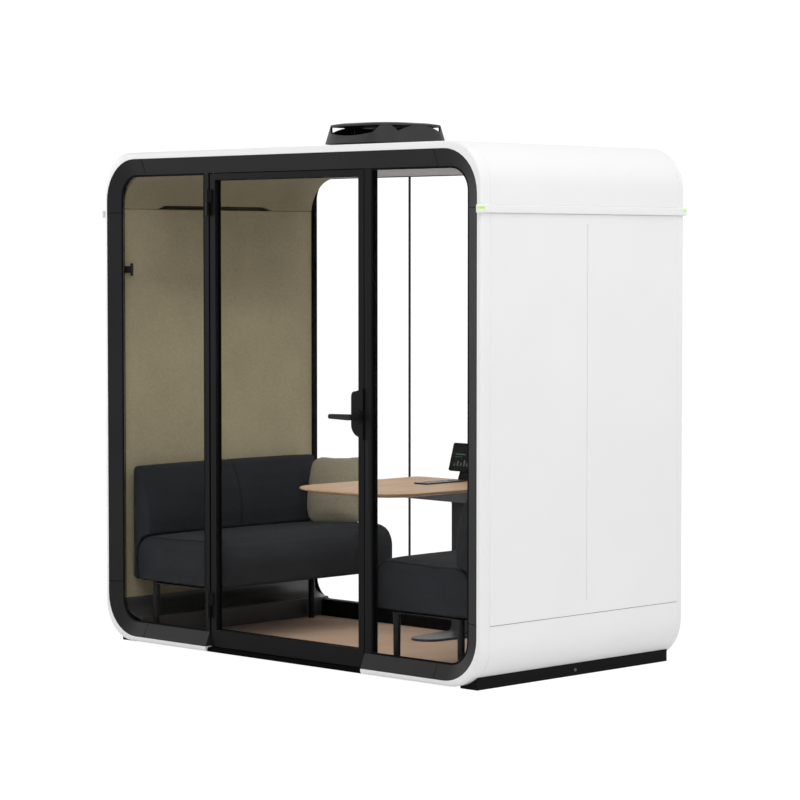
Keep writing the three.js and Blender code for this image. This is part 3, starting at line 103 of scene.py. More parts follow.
class Shading:
    """A material's node tree, with short calls for the nodes that the finishes use."""

    def __init__(self, name: str) -> None:
        """Starts a material.

        Args:
            name: The material's name.
        """
        self.material = bpy.data.materials.new(name)
        self.material.use_nodes = True
        self.nodes = self.material.node_tree.nodes
        self.links = self.material.node_tree.links
        self.nodes.clear()
        self.shader = self.nodes.new("ShaderNodeBsdfPrincipled")
        output = self.nodes.new("ShaderNodeOutputMaterial")
        self.links.new(self.shader.outputs["BSDF"], output.inputs["Surface"])
        self.coords = self.nodes.new("ShaderNodeTexCoord").outputs["Object"]

    def feed(self, socket: bpy.types.NodeSocket, value: Value) -> None:
        """Sets or links an input.

        Args:
            socket: The input.
            value: A constant, or the output to link.
        """
        if isinstance(value, bpy.types.NodeSocket):
            self.links.new(value, socket)
        else:
            socket.default_value = value

    def give(self, **values: Value) -> None:
        """Feeds the shader, by input names with underscores for spaces.

        Args:
            values: The inputs' values.
        """
        for name, value in values.items():
            self.feed(self.shader.inputs[name.replace("_", " ")], value)

    def mapped(self, scale: Point, turn: Point = (0, 0, 0)) -> bpy.types.NodeSocket:
        """Object coordinates, scaled and turned.

        Args:
            scale: Scale along each axis.
            turn: Angles in radians.

        Returns:
            The vector.
        """
        node = self.nodes.new("ShaderNodeMapping")
        self.links.new(self.coords, node.inputs["Vector"])
        node.inputs["Scale"].default_value = scale
        node.inputs["Rotation"].default_value = turn
        return node.outputs["Vector"]

    def noise(self, scale: float, detail: float = 3.0, rough: float = 0.55,
              vector: Optional[bpy.types.NodeSocket] = None) -> bpy.types.NodeSocket:
        """Noise.

        Args:
            scale: Cells in a metre.
            detail: Octaves.
            rough: Weight of the finer octaves.
            vector: Where it is read, or Object coordinates.

        Returns:
            The noise's factor.
        """
        node = self.nodes.new("ShaderNodeTexNoise")
        self.links.new(vector or self.coords, node.inputs["Vector"])
        node.inputs["Scale"].default_value = scale
        node.inputs["Detail"].default_value = detail
        node.inputs["Roughness"].default_value = rough
        return node.outputs[0]

    def cells(self, scale: float) -> bpy.types.NodeSocket:
        """Distance to the nearest of many scattered points.

        Args:
            scale: Cells in a metre.

        Returns:
            The distance.
        """
        node = self.nodes.new("ShaderNodeTexVoronoi")
        self.links.new(self.coords, node.inputs["Vector"])
        node.inputs["Scale"].default_value = scale
        return node.outputs["Distance"]

    def maths(self, operation: str, first: Value, second: Value = 0.0) -> bpy.types.NodeSocket:
        """One sum.

        Args:
            operation: The Math node's operation.
            first: First number.
            second: Second number.

        Returns:
            The result.
        """
        node = self.nodes.new("ShaderNodeMath")
        node.operation = operation
        self.feed(node.inputs[0], first)
        self.feed(node.inputs[1], second)
        return node.outputs[0]

    def ranged(self, value: Value, low: float, high: float) -> bpy.types.NodeSocket:
        """A factor spread between two numbers.

        Args:
            value: A factor from 0 to 1.
            low: Result at 0.
            high: Result at 1.

        Returns:
            The result.
        """
        node = self.nodes.new("ShaderNodeMapRange")
        self.feed(node.inputs["Value"], value)
        node.inputs["To Min"].default_value = low
        node.inputs["To Max"].default_value = high
        return node.outputs[0]

    def ramp(self, value: Value, stops: Sequence[tuple[float, Colour]]) -> bpy.types.NodeSocket:
        """Colours along a factor.

        Args:
            value: The factor.
            stops: Places and colours.

        Returns:
            The colour.
        """
        node = self.nodes.new("ShaderNodeValToRGB")
        self.feed(node.inputs[0], value)
        bar = node.color_ramp.elements
        while len(bar) < len(stops):
            bar.new(0.5)
        for element, (place, colour) in zip(bar, stops):
            element.position = place
            element.color = (*colour, 1.0)
        return node.outputs["Color"]

    def threads(self, pitch: float) -> bpy.types.NodeSocket:
        """Crossing threads that read the same on a face of any direction.

        Args:
            pitch: Distance between threads in metres.

        Returns:
            A height from about -1 to 1.
        """
        split = self.nodes.new("ShaderNodeSeparateXYZ")
        self.links.new(self.mapped((math.pi / pitch,) * 3), split.inputs[0])
        waves = [self.maths("SINE", socket) for socket in split.outputs]
        pairs = [self.maths("MULTIPLY", waves[i], waves[(i + 1) % 3]) for i in range(3)]
        return self.maths("ADD", self.maths("ADD", pairs[0], pairs[1]), pairs[2])

    def bump(self, height: Value, depth: float, strength: float = 1.0,
             under: Optional[bpy.types.NodeSocket] = None) -> bpy.types.NodeSocket:
        """Relief.

        Args:
            height: The height.
            depth: Metres for a height of 1.
            strength: Share of the relief.
            under: A normal to start from.

        Returns:
            The normal.
        """
        node = self.nodes.new("ShaderNodeBump")
        self.feed(node.inputs["Height"], height)
        node.inputs["Distance"].default_value = depth
        node.inputs["Strength"].default_value = strength
        if under is not None:
            self.links.new(under, node.inputs["Normal"])
        return node.outputs["Normal"]


def shade(colour: Colour, factor: float) -> Colour:
    """A colour made lighter or darker.

    Args:
        colour: The colour.
        factor: What it is multiplied by.

    Returns:
        The new colour.
    """
    return tuple(min(1.0, part * factor) for part in colour)


@dataclass(frozen=True)
class Coat:
    """Paint, powder coat, anodising or moulded plastic: a fine peel and slightly uneven gloss."""

    name: str
    colour: Colour
    roughness: float = 0.45
    metallic: float = 0.0
    spread: float = 0.06
    grain: float = 900.0
    depth: float = 0.00005
    specular: float = 0.5

    def material(self) -> bpy.types.Material:
        """Builds the material."""
        tree = Shading(self.name)
        cloud = tree.noise(2.2, 2.0)
        peel = tree.noise(self.grain, 2.0)
        stops = [(0.3, shade(self.colour, 1 - self.spread)), (0.7, shade(self.colour, 1 + self.spread))]
        tree.give(
            Base_Color=tree.ramp(cloud, stops),
            Roughness=tree.ranged(tree.noise(14.0, 3.0), self.roughness - 0.05, self.roughness + 0.05),
            Metallic=self.metallic,
            Specular_IOR_Level=self.specular,
            Normal=tree.bump(peel, self.depth),
        )
        return tree.material


@dataclass(frozen=True)
class Textile:
    """Upholstery, felt or carpet."""

    name: str
    colour: Colour
    kind: Cloth
    pitch: float = 0.0024
    depth: float = 0.0004
    mottle: float = 0.10
    sheen: float = 0.15
    specular: float = 0.15
    contrast: float = 0.4

    def relief(self, tree: Shading) -> bpy.types.NodeSocket:
        """The height of the cloth's surface.

        Args:
            tree: The material's tree.

        Returns:
            The height.
        """
        fuzz = tree.noise(1.6 / self.pitch, 3.0, 0.65)
        if self.kind is Cloth.FELT:
            drawn = tree.noise(0.35 / self.pitch, 4.0, 0.7, tree.mapped((1.0, 1.0, 2.2), (0.5, 0.4, 0.3)))
            mixed = tree.maths("ADD", tree.maths("MULTIPLY", fuzz, 1.3), tree.maths("MULTIPLY", drawn, 0.3))
            return tree.maths("MULTIPLY", mixed, 0.625)
        if self.kind is Cloth.PILE:
            return tree.maths("ADD", tree.cells(1.0 / self.pitch), tree.maths("MULTIPLY", fuzz, 0.8))
        share = 0.35 if self.kind is Cloth.KNIT else 0.5
        return tree.maths("ADD", tree.threads(self.pitch), tree.maths("MULTIPLY", fuzz, share))

    def material(self) -> bpy.types.Material:
        """Builds the material."""
        tree = Shading(self.name)
        height = self.relief(tree)
        fine = tree.ranged(height, 0.5 - self.contrast / 2, 0.5 + self.contrast / 2)
        cloud = tree.noise(3.5, 3.0)
        blend = tree.maths("ADD", tree.maths("MULTIPLY", fine, 0.55), tree.maths("MULTIPLY", cloud, 0.45))
        stops = [
            (0.25, shade(self.colour, 1 - 1.6 * self.mottle)),
            (0.5, self.colour),
            (0.8, shade(self.colour, 1 + 1.6 * self.mottle)),
        ]
        tree.give(
            Base_Color=tree.ramp(blend, stops),
            Roughness=tree.ranged(fine, 0.97, 0.86),
            Sheen_Weight=self.sheen,
            Sheen_Roughness=0.6,
            Specular_IOR_Level=self.specular,
            Normal=tree.bump(height, self.depth),
        )
        return tree.material


@dataclass(frozen=True)
class Pane:
    """Clear float glass, with a trace of wiping in its gloss."""

    name: str
    tint: Colour
    cover: float = 0.006

    def material(self) -> bpy.types.Material:
        """Builds the material."""
        tree = Shading(self.name)
        wiped = tree.noise(3.0, 4.0, 0.6, tree.mapped((1.0, 1.0, 0.25), (0.0, 0.3, 0.0)))
        stops = [(0.35, shade(self.tint, 0.97)), (0.65, self.tint)]
        tree.give(
            Base_Color=tree.ramp(wiped, stops),
            Roughness=tree.ranged(wiped, 0.01, 0.04),
            Alpha=self.cover,
            IOR=1.45,
        )
        return tree.material


@dataclass(frozen=True)
class Veneer:
    """Oiled oak: long pores and slow bands along the table."""

    name: str
    pale: Colour
    brown: Colour

    def material(self) -> bpy.types.Material:
        """Builds the material."""
        tree = Shading(self.name)
        bands = tree.noise(5.0, 4.0, 0.5, tree.mapped((7.0, 0.7, 7.0)))
        pores = tree.noise(60.0, 3.0, 0.7, tree.mapped((9.0, 0.35, 9.0)))
        mixed = tree.maths("ADD", tree.maths("MULTIPLY", bands, 0.65), tree.maths("MULTIPLY", pores, 0.35))
        middle = tuple((a + b) / 2 for a, b in zip(self.pale, self.brown))
        tree.give(
            Base_Color=tree.ramp(mixed, [(0.3, self.brown), (0.5, middle), (0.68, self.pale)]),
            Roughness=tree.ranged(pores, 0.58, 0.46),
            Specular_IOR_Level=0.2,
            Normal=tree.bump(pores, 0.00012),
        )
        return tree.material


@dataclass(frozen=True)
class Brushed:
    """Brushed metal, drawn along one axis."""

    name: str
    colour: Colour
    draw: Point = (300.0, 6.0, 300.0)
    roughness: float = 0.34

    def material(self) -> bpy.types.Material:
        """Builds the material."""
        tree = Shading(self.name)
        lines = tree.noise(6.0, 3.0, 0.6, tree.mapped(self.draw))
        stops = [(0.3, shade(self.colour, 0.86)), (0.7, shade(self.colour, 1.12))]
        tree.give(
            Base_Color=tree.ramp(lines, stops),
            Metallic=1.0,
            Roughness=tree.ranged(lines, self.roughness - 0.06, self.roughness + 0.08),
            Normal=tree.bump(lines, 0.00002),
        )
        return tree.material


@dataclass(frozen=True)
class Glow:
    """A lit diffuser or a lit part of a screen."""

    name: str
    colour: Colour
    strength: float = 1.0
    body: float = 0.06

    def material(self) -> bpy.types.Material:
        """Builds the material."""
        tree = Shading(self.name)
        soft = tree.noise(120.0, 2.0)
        lit = tree.ramp(soft, [(0.3, shade(self.colour, 0.95)), (0.7, self.colour)])
        unlit = tree.ramp(soft, [(0.3, shade(self.colour, self.body)), (0.7, shade(self.colour, 1.2 * self.body))])
        tree.give(Base_Color=unlit, Emission_Color=lit, Emission_Strength=self.strength, Roughness=0.45,
                  Specular_IOR_Level=0.1)
        return tree.material


FINISHES: dict[str, Union[Coat, Textile, Pane, Veneer, Brushed, Glow]] = {
    "shell_white": Coat("shell_paint", (0.80, 0.80, 0.80), 0.42, spread=0.012, grain=650.0),
    "frame_black": Coat("frame_powder_coat", (0.021, 0.021, 0.022), 0.46, spread=0.10, depth=0.00006,
                        specular=0.06),
    "door_black": Coat("door_powder_coat", (0.0055, 0.0055, 0.006), 0.46, spread=0.10, depth=0.00006,
                       specular=0.05),
    "base_black": Coat("base_paint", (0.0055, 0.0055, 0.006), 0.6, spread=0.12, depth=0.00008, specular=0.05),
    "sill_black": Coat("sill_rubber", (0.0015, 0.0015, 0.0016), 0.75, spread=0.12, specular=0.02),
    "leg_black": Coat("leg_powder_coat", (0.012, 0.012, 0.013), 0.48, spread=0.10, depth=0.00006, specular=0.12),
    "clear_glass": Pane("float_glass", (0.010, 0.013, 0.012)),
    "felt_khaki": Textile("wall_felt", (0.318, 0.276, 0.177), Cloth.FELT, 0.011, 0.0006, 0.14, 0.10,
                          contrast=1.5),
    # Wall felt made darker for the corner panels: painted shade where the felt curves under the ceiling.
    "felt_painted_shade": Textile("corner_felt", (0.262, 0.227, 0.146), Cloth.FELT, 0.011, 0.0006, 0.14, 0.10,
                          contrast=1.5),
    "sofa_navy": Textile("sofa_weave", (0.020, 0.0215, 0.0245), Cloth.WEAVE, 0.0022, 0.0004, 0.14, 0.03, 0.08),
    "carpet_brown": Textile("carpet_pile", (0.430, 0.300, 0.210), Cloth.PILE, 0.005, 0.0018, 0.16, 0.05),
    "ceiling_grey": Textile("ceiling_felt", (0.53, 0.53, 0.52), Cloth.FELT, 0.005, 0.0004, 0.06, 0.05),
    "pillow_khaki": Textile("pillow_knit", (0.196, 0.174, 0.124), Cloth.PILE, 0.0065, 0.0007, 0.24, 0.15,
                            contrast=1.3),
    "cove_black": Coat("cove_satin", (0.040, 0.040, 0.040), 0.34, spread=0.06, grain=200.0, depth=0.00001),
    "light_lime": Glow("lime_light", (0.46, 0.97, 0.004), 1.0),
    "table_oak": Veneer("table_oak", (0.53, 0.353, 0.218), (0.36, 0.222, 0.130)),
    "graphite": Coat("graphite_powder_coat", (0.038, 0.038, 0.041), 0.45, 0.2, spread=0.08, depth=0.00007),
    "strip_grey": Brushed("strip_aluminium", (0.048, 0.048, 0.050)),
    "fan_black": Coat("cowl_plastic", (0.021, 0.021, 0.022), 0.5, spread=0.08, grain=700.0, depth=0.00008,
                      specular=0.2),
    "screen_dark": Coat("display_case", (0.010, 0.0105, 0.010), 0.42, specular=0.12, spread=0.10, depth=0.00003),
    "gasket": Coat("gasket_rubber", (0.004, 0.004, 0.0045), 0.7, spread=0.15, depth=0.00004, specular=0.03),
    # Dark plate at the back of the vent slots: painted shade of the recess.
    "vent_painted_shade": Coat("vent_mesh", (0.075, 0.068, 0.052), 0.9, spread=0.2, grain=900.0, specular=0.05),
    "seam_shadow": Coat("seam_shadow", (0.003, 0.003, 0.003), 0.9, spread=0.2, specular=0.02),
    "thread": Coat("sewing_thread", (0.007, 0.0075, 0.009), 0.85, spread=0.15, grain=2500.0, specular=0.03),
    "screw": Brushed("screw_black_steel", (0.10, 0.10, 0.105), (40.0, 40.0, 40.0), 0.4),
    "socket": Coat("outlet_plastic", (0.010, 0.010, 0.011), 0.4, spread=0.15),
    "screen_pale": Glow("screen_bars", (0.075, 0.088, 0.080), 1.0),
    "screen_green": Glow("screen_mark", (0.022, 0.105, 0.055), 1.0),
}


class Workshop:
    """Materials by slot, and the calls that turn meshes into pieces of the pod."""

    def __init__(self, nodes: dict[str, bpy.types.Object], record: dict) -> None:
        """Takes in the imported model.

        Args:
            nodes: The solids by name.
            record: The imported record.
        """
        self.nodes = nodes
        self.bodies = record["behaviour"]["bodies"]
        self.slots = {part["node"]: part["material_slot"] for part in record["subparts"]}
        self.known = {material["slot"] for material in record["materials"]}
        self.materials: dict[str, bpy.types.Material] = {}

    def finish(self, slot: str) -> bpy.types.Material:
        """The material of a finish, built when it is first asked for.

        Args:
            slot: The finish's name.

        Returns:
            The material.
        """
        if slot not in self.materials:
            self.materials[slot] = FINISHES[slot].material()
        return self.materials[slot]

    def body_of(self, node: str) -> str:
        """The body that a node moves with."""
        return next(body for body, members in self.bodies.items() if node in members)

    def dress(self, node: str) -> None:
        """Gives a solid that stays in view its finish."""
        mesh = self.nodes[node].data
        mesh.materials.clear()
        mesh.materials.append(self.finish(self.slots[node]))

    def piece(self, name: str, mesh: bpy.types.Mesh, finish: str, body: str = "pod",
              slot: Optional[str] = None) -> bpy.types.Object:
        """Makes a mesh a piece of the pod.

        Args:
            name: The piece's name.
            mesh: Its mesh, in place.
            finish: The finish's name.
            body: The body it rides on.
            slot: The record's slot that it takes after, where that isn't the finish itself; not used.

        Returns:
            The piece.
        """
        mesh.name = name
        if not mesh.materials:
            mesh.materials.append(self.finish(finish))
        thing = bpy.data.objects.new(name, mesh)
        bpy.context.scene.collection.objects.link(thing)
        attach(thing, body)
        log.info("%s on %s", name, body)
        return thing

    def copied(self, node: str) -> bmesh.types.BMesh:
        """A solid's mesh with its corners merged and its flat faces joined.

        Args:
            node: The solid's name.

        Returns:
            The mesh.
        """
        work = bmesh.new()
        work.from_mesh(self.nodes[node].data)
        bmesh.ops.remove_doubles(work, verts=work.verts, dist=2e-6)
        bmesh.ops.dissolve_limit(
            work, angle_limit=math.radians(0.3), verts=work.verts, edges=work.edges)
        return work

    def softened(self, node: str, width: float = 0.0006, steps: int = 2, smooth: float = 32.0,
                 finish: Optional[str] = None) -> bpy.types.Object:
        """A copy of a rigid solid with eased edges and smooth curves, in the solid's place.

        Args:
            node: The solid's name.
            width: Width of the eased edges.
            steps: Facets across an eased edge.
            smooth: Angle in degrees up to which faces shade as one curve.
            finish: Its finish, where that isn't named as its slot is.

        Returns:
            The piece.
        """
        work = self.copied(node)
        mesh = bpy.data.meshes.new(node)
        work.to_mesh(mesh)
        work.free()
        mesh.shade_smooth()
        mesh.set_sharp_from_angle(angle=math.radians(smooth))
        slot = self.slots[node]
        thing = self.piece(node + "_finished", mesh, finish or slot, self.body_of(node), slot)
        ease = thing.modifiers.new("eased_edges", "BEVEL")
        ease.width = width
        ease.segments = steps
        ease.limit_method = "ANGLE"
        ease.angle_limit = math.radians(smooth)
        ease.use_clamp_overlap = True
        ease.harden_normals = False
        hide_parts(node)
        return thing


def plain_mesh(thing: bpy.types.Object) -> bpy.types.Mesh:
    """The mesh of an object with its modifiers applied.

    Args:
        thing: The object.

    Returns:
        A new mesh.
    """
    graph = bpy.context.evaluated_depsgraph_get()
    return bpy.data.meshes.new_from_object(thing.evaluated_get(graph))


def swept(path: Sequence[Vector], radius: float, closed: bool = True, sides: int = 2) -> bpy.types.Mesh:
    """A round bead along a path.

    Args:
        path: Points of the path.
        radius: The bead's radius.
        closed: Whether the path runs back to its start.
        sides: Bevel resolution of the bead.

    Returns:
        The bead's mesh.
    """
    curve = bpy.data.curves.new("bead", "CURVE")
    curve.dimensions = "3D"
    curve.bevel_depth = radius
    curve.bevel_resolution = sides
    curve.use_fill_caps = not closed
    spline = curve.splines.new("POLY")
    spline.points.add(len(path) - 1)
    for point, place in zip(spline.points, path):
        point.co = (*place, 1.0)
    spline.use_cyclic_u = closed
    thing = bpy.data.objects.new("bead", curve)
    bpy.context.scene.collection.objects.link(thing)
    bpy.context.view_layer.update()
    mesh = plain_mesh(thing)
    bpy.data.objects.remove(thing)
    bpy.data.curves.remove(curve)
    mesh.materials.clear()
    mesh.shade_smooth()
    return mesh


def rounded_loop(x: tuple[float, float], z: tuple[float, float], y: float,
                 radii: tuple[float, float, float, float], steps: int = 10) -> list[Vector]:
    """A rectangle with round corners, upright at one depth.

    Args:
        x: Left and right.
        z: Foot and head.
        y: The depth.
        radii: Corner radii from the foot's left corner, counterclockwise.
        steps: Facets in each corner.

    Returns:
        The loop's points.
    """
    corners = [(x[0], z[0], 1, 1), (x[1], z[0], -1, 1), (x[1], z[1], -1, -1), (x[0], z[1], 1, -1)]
    points: list[Vector] = []
    for index, ((cx, cz, inward, up), radius) in enumerate(zip(corners, radii)):
        if radius <= 0:
            points.append(Vector((cx, y, cz)))
            continue
        middle = Vector((cx + inward * radius, y, cz + up * radius))
        for step in range(steps + 1):
            angle = math.pi + (index + step / steps) * math.pi / 2
            points.append(middle + radius * Vector((math.cos(angle), 0, math.sin(angle))))
    return points


def band(outer: Sequence[Vector], inner: Sequence[Vector], thick: float) -> bpy.types.Mesh:
    """A flat closed strip between two upright loops.

    Args:
        outer: The outer loop.
        inner: The inner loop, with as many points.
        thick: How far the strip stands out towards +Y, or towards -Y where it is negative.

    Returns:
        The strip's mesh.
    """
    work = bmesh.new()
    step = Vector((0.0, thick, 0.0))
    rings = [[work.verts.new(point + shift) for point in loop]
             for loop, shift in ((outer, Vector()), (inner, Vector()), (inner, step), (outer, step))]
    count = len(outer)
    for first, second in zip(rings, rings[1:] + rings[:1]):
        for i in range(count):
            j = (i + 1) % count
            work.faces.new((first[i], first[j], second[j], second[i]))
    bmesh.ops.recalc_face_normals(work, faces=work.faces)
    mesh = bpy.data.meshes.new("band")
    work.to_mesh(mesh)
    work.free()
    return mesh


def plates(corners: Iterable[Sequence[Vector]], thickness: float) -> bpy.types.Mesh:
    """Thin closed plates, each given by the corners of its back face.

    Args:
        corners: Corners of each plate, counterclockwise seen from its front.
        thickness: How far the plates stand out.

    Returns:
        One mesh of all the plates.
    """
    work = bmesh.new()
    for ring in corners:
        normal = (ring[1] - ring[0]).cross(ring[2] - ring[1]).normalized()
        back = [work.verts.new(point) for point in ring]
        front = [work.verts.new(point + normal * thickness) for point in ring]
        work.faces.new(front)
        work.faces.new(list(reversed(back)))
        for i in range(len(ring)):
            j = (i + 1) % len(ring)
            work.faces.new((back[i], back[j], front[j], front[i]))
    bmesh.ops.recalc_face_normals(work, faces=work.faces)
    mesh = bpy.data.meshes.new("plates")
    work.to_mesh(mesh)
    work.free()
    return mesh


@dataclass
class Fasteners:
    """Button-head screws set by Geometry Nodes on points that carry the way they face."""

    shop: Workshop
    sides: int = 20

    def tree(self, material: bpy.types.Material, recess: bpy.types.Material) -> bpy.types.NodeTree:
        """Builds the node tree.

        Args:
            material: The head's material.
            recess: The drive recess's material.

        Returns:
            The tree, with Radius and Height inputs.
        """
        tree = bpy.data.node_groups.new("screw_heads", "GeometryNodeTree")
        face = tree.interface
        face.new_socket("Geometry", in_out="INPUT", socket_type="NodeSocketGeometry")
        face.new_socket("Radius", in_out="INPUT", socket_type="NodeSocketFloat").default_value = 0.004
        face.new_socket("Height", in_out="INPUT", socket_type="NodeSocketFloat").default_value = 0.002
        face.new_socket("Geometry", in_out="OUTPUT", socket_type="NodeSocketGeometry")
        new, link = tree.nodes.new, tree.links.new
        source, result = new("NodeGroupInput"), new("NodeGroupOutput")

        def scaled(name: str, share: float) -> bpy.types.NodeSocket:
            """A share of one of the tree's inputs."""
            node = new("ShaderNodeMath")
            node.operation = "MULTIPLY"
            link(source.outputs[name], node.inputs[0])
            node.inputs[1].default_value = share
            return node.outputs[0]

        def head(radius: float, top: float, height: float, finish: bpy.types.Material,
                 corners: int) -> bpy.types.NodeSocket:
            """A tapered disc that stands on the face, with its own finish."""
            cone = new("GeometryNodeMeshCone")
            cone.inputs["Vertices"].default_value = corners
            link(scaled("Radius", top), cone.inputs["Radius Top"])
            link(scaled("Radius", radius), cone.inputs["Radius Bottom"])
            link(scaled("Height", height), cone.inputs["Depth"])
            paint = new("GeometryNodeSetMaterial")
            paint.inputs["Material"].default_value = finish
            link(cone.outputs["Mesh"], paint.inputs["Geometry"])
            return paint.outputs["Geometry"]

        both = new("GeometryNodeJoinGeometry")
        link(head(1.0, 0.72, 1.0, material, self.sides), both.inputs[0])
        link(head(0.42, 0.42, 1.02, recess, 6), both.inputs[0])
        facing = new("GeometryNodeInputNamedAttribute")
        facing.data_type = "FLOAT_VECTOR"
        facing.inputs["Name"].default_value = "facing"
        turn = new("FunctionNodeAlignRotationToVector")
        turn.axis = "Z"
        link(facing.outputs["Attribute"], turn.inputs["Vector"])
        spots = new("GeometryNodeMeshToPoints")
        link(source.outputs["Geometry"], spots.inputs["Mesh"])
        copies = new("GeometryNodeInstanceOnPoints")
        link(spots.outputs["Points"], copies.inputs["Points"])
        link(both.outputs[0], copies.inputs["Instance"])
        link(turn.outputs["Rotation"], copies.inputs["Rotation"])
        real = new("GeometryNodeRealizeInstances")
        link(copies.outputs["Instances"], real.inputs["Geometry"])
        link(real.outputs["Geometry"], result.inputs["Geometry"])
        return tree

    def place(self, name: str, spots: Sequence[tuple[Point, Point]], radius: float, height: float,
              body: str = "pod") -> bpy.types.Object:
        """Sets a group of screws.

        Args:
            name: The piece's name.
            spots: The places and the ways the heads face.
            radius: Radius of a head.
            height: Height of a head.
            body: The body it rides on.

        Returns:
            The piece.
        """
        mesh = bpy.data.meshes.new(name)
        mesh.from_pydata([place for place, _ in spots], [], [])
        ways = mesh.attributes.new("facing", "FLOAT_VECTOR", "POINT")
        for item, (_, way) in zip(ways.data, spots):
            item.vector = way
        return self.grown(name, mesh, self.tree(self.shop.finish("screw"), self.shop.finish("socket")),
                          {"Radius": radius, "Height": height}, body)

    def grown(self, name: str, mesh: bpy.types.Mesh, tree: bpy.types.NodeTree,
              sizes: dict[str, float], body: str, finish: str = "screw",
              slot: str = "base_black") -> bpy.types.Object:
        """Runs a node tree on a mesh and keeps the result as a plain piece.

        Args:
            name: The piece's name.
            mesh: What the tree starts from.
            tree: The node tree.
            sizes: The tree's inputs by name.
            body: The body the piece rides on.
            finish: The piece's finish where the tree sets none.
            slot: The record's slot.

        Returns:
            The piece.
        """
        seed = bpy.data.objects.new(name + "_seed", mesh)
        bpy.context.scene.collection.objects.link(seed)
        grow = seed.modifiers.new("grow", "NODES")
        grow.node_group = tree
        for item in tree.interface.items_tree:
            if item.in_out == "INPUT" and item.name in sizes:
                grow[item.identifier] = sizes[item.name]
        bpy.context.view_layer.update()
        made = plain_mesh(seed)
        bpy.data.objects.remove(seed)
        return self.shop.piece(name, made, finish, body, slot)


@dataclass
class Stitches:
    """Rows of sewn stitches made by Geometry Nodes along points on a pad."""

    crew: Fasteners

    def tree(self, material: bpy.types.Material) -> bpy.types.NodeTree:
        """Builds the node tree.

        Args:
            material: The thread's material.

        Returns:
            The tree, with Pitch, Thread and Length inputs.
        """
        tree = bpy.data.node_groups.new("stitch_row", "GeometryNodeTree")
        face = tree.interface
        face.new_socket("Geometry", in_out="INPUT", socket_type="NodeSocketGeometry")
        for name, value in (("Pitch", 0.006), ("Thread", 0.0006), ("Length", 0.0042)):
            face.new_socket(name, in_out="INPUT", socket_type="NodeSocketFloat").default_value = value
        face.new_socket("Geometry", in_out="OUTPUT", socket_type="NodeSocketGeometry")
        new, link = tree.nodes.new, tree.links.new
        source, result = new("NodeGroupInput"), new("NodeGroupOutput")
        line = new("GeometryNodeMeshToCurve")
        link(source.outputs["Geometry"], line.inputs["Mesh"])
        spots = new("GeometryNodeCurveToPoints")
        spots.mode = "LENGTH"
        link(line.outputs["Curve"], spots.inputs["Curve"])
        link(source.outputs["Pitch"], spots.inputs["Length"])
        stitch = new("GeometryNodeMeshCylinder")
        stitch.inputs["Vertices"].default_value = 6
        link(source.outputs["Thread"], stitch.inputs["Radius"])
        link(source.outputs["Length"], stitch.inputs["Depth"])
        turn = new("FunctionNodeAlignRotationToVector")
        turn.axis = "Z"
        link(spots.outputs["Tangent"], turn.inputs["Vector"])
        copies = new("GeometryNodeInstanceOnPoints")
        link(spots.outputs["Points"], copies.inputs["Points"])
        link(stitch.outputs["Mesh"], copies.inputs["Instance"])
        link(turn.outputs["Rotation"], copies.inputs["Rotation"])
        real = new("GeometryNodeRealizeInstances")
        link(copies.outputs["Instances"], real.inputs["Geometry"])
        paint = new("GeometryNodeSetMaterial")
        paint.inputs["Material"].default_value = material
        link(real.outputs["Geometry"], paint.inputs["Geometry"])
        link(paint.outputs["Geometry"], result.inputs["Geometry"])
        return tree

    def sew(self, name: str, path: Sequence[Vector], slot: str, pitch: float = 0.0065) -> bpy.types.Object:
        """Sews one row.

        Args:
            name: The piece's name.
            path: Points of the row, on the pad.
            slot: The record's slot.
            pitch: Distance between stitches.

        Returns:
            The piece.
        """
        mesh = bpy.data.meshes.new(name)
        mesh.from_pydata(list(path), [(i, i + 1) for i in range(len(path) - 1)], [])
        tree = self.tree(self.crew.shop.finish("thread"))
        sizes = {"Pitch": pitch, "Thread": 0.0006, "Length": pitch * 0.66}
        return self.crew.grown(name, mesh, tree, sizes, "pod", "thread", slot)


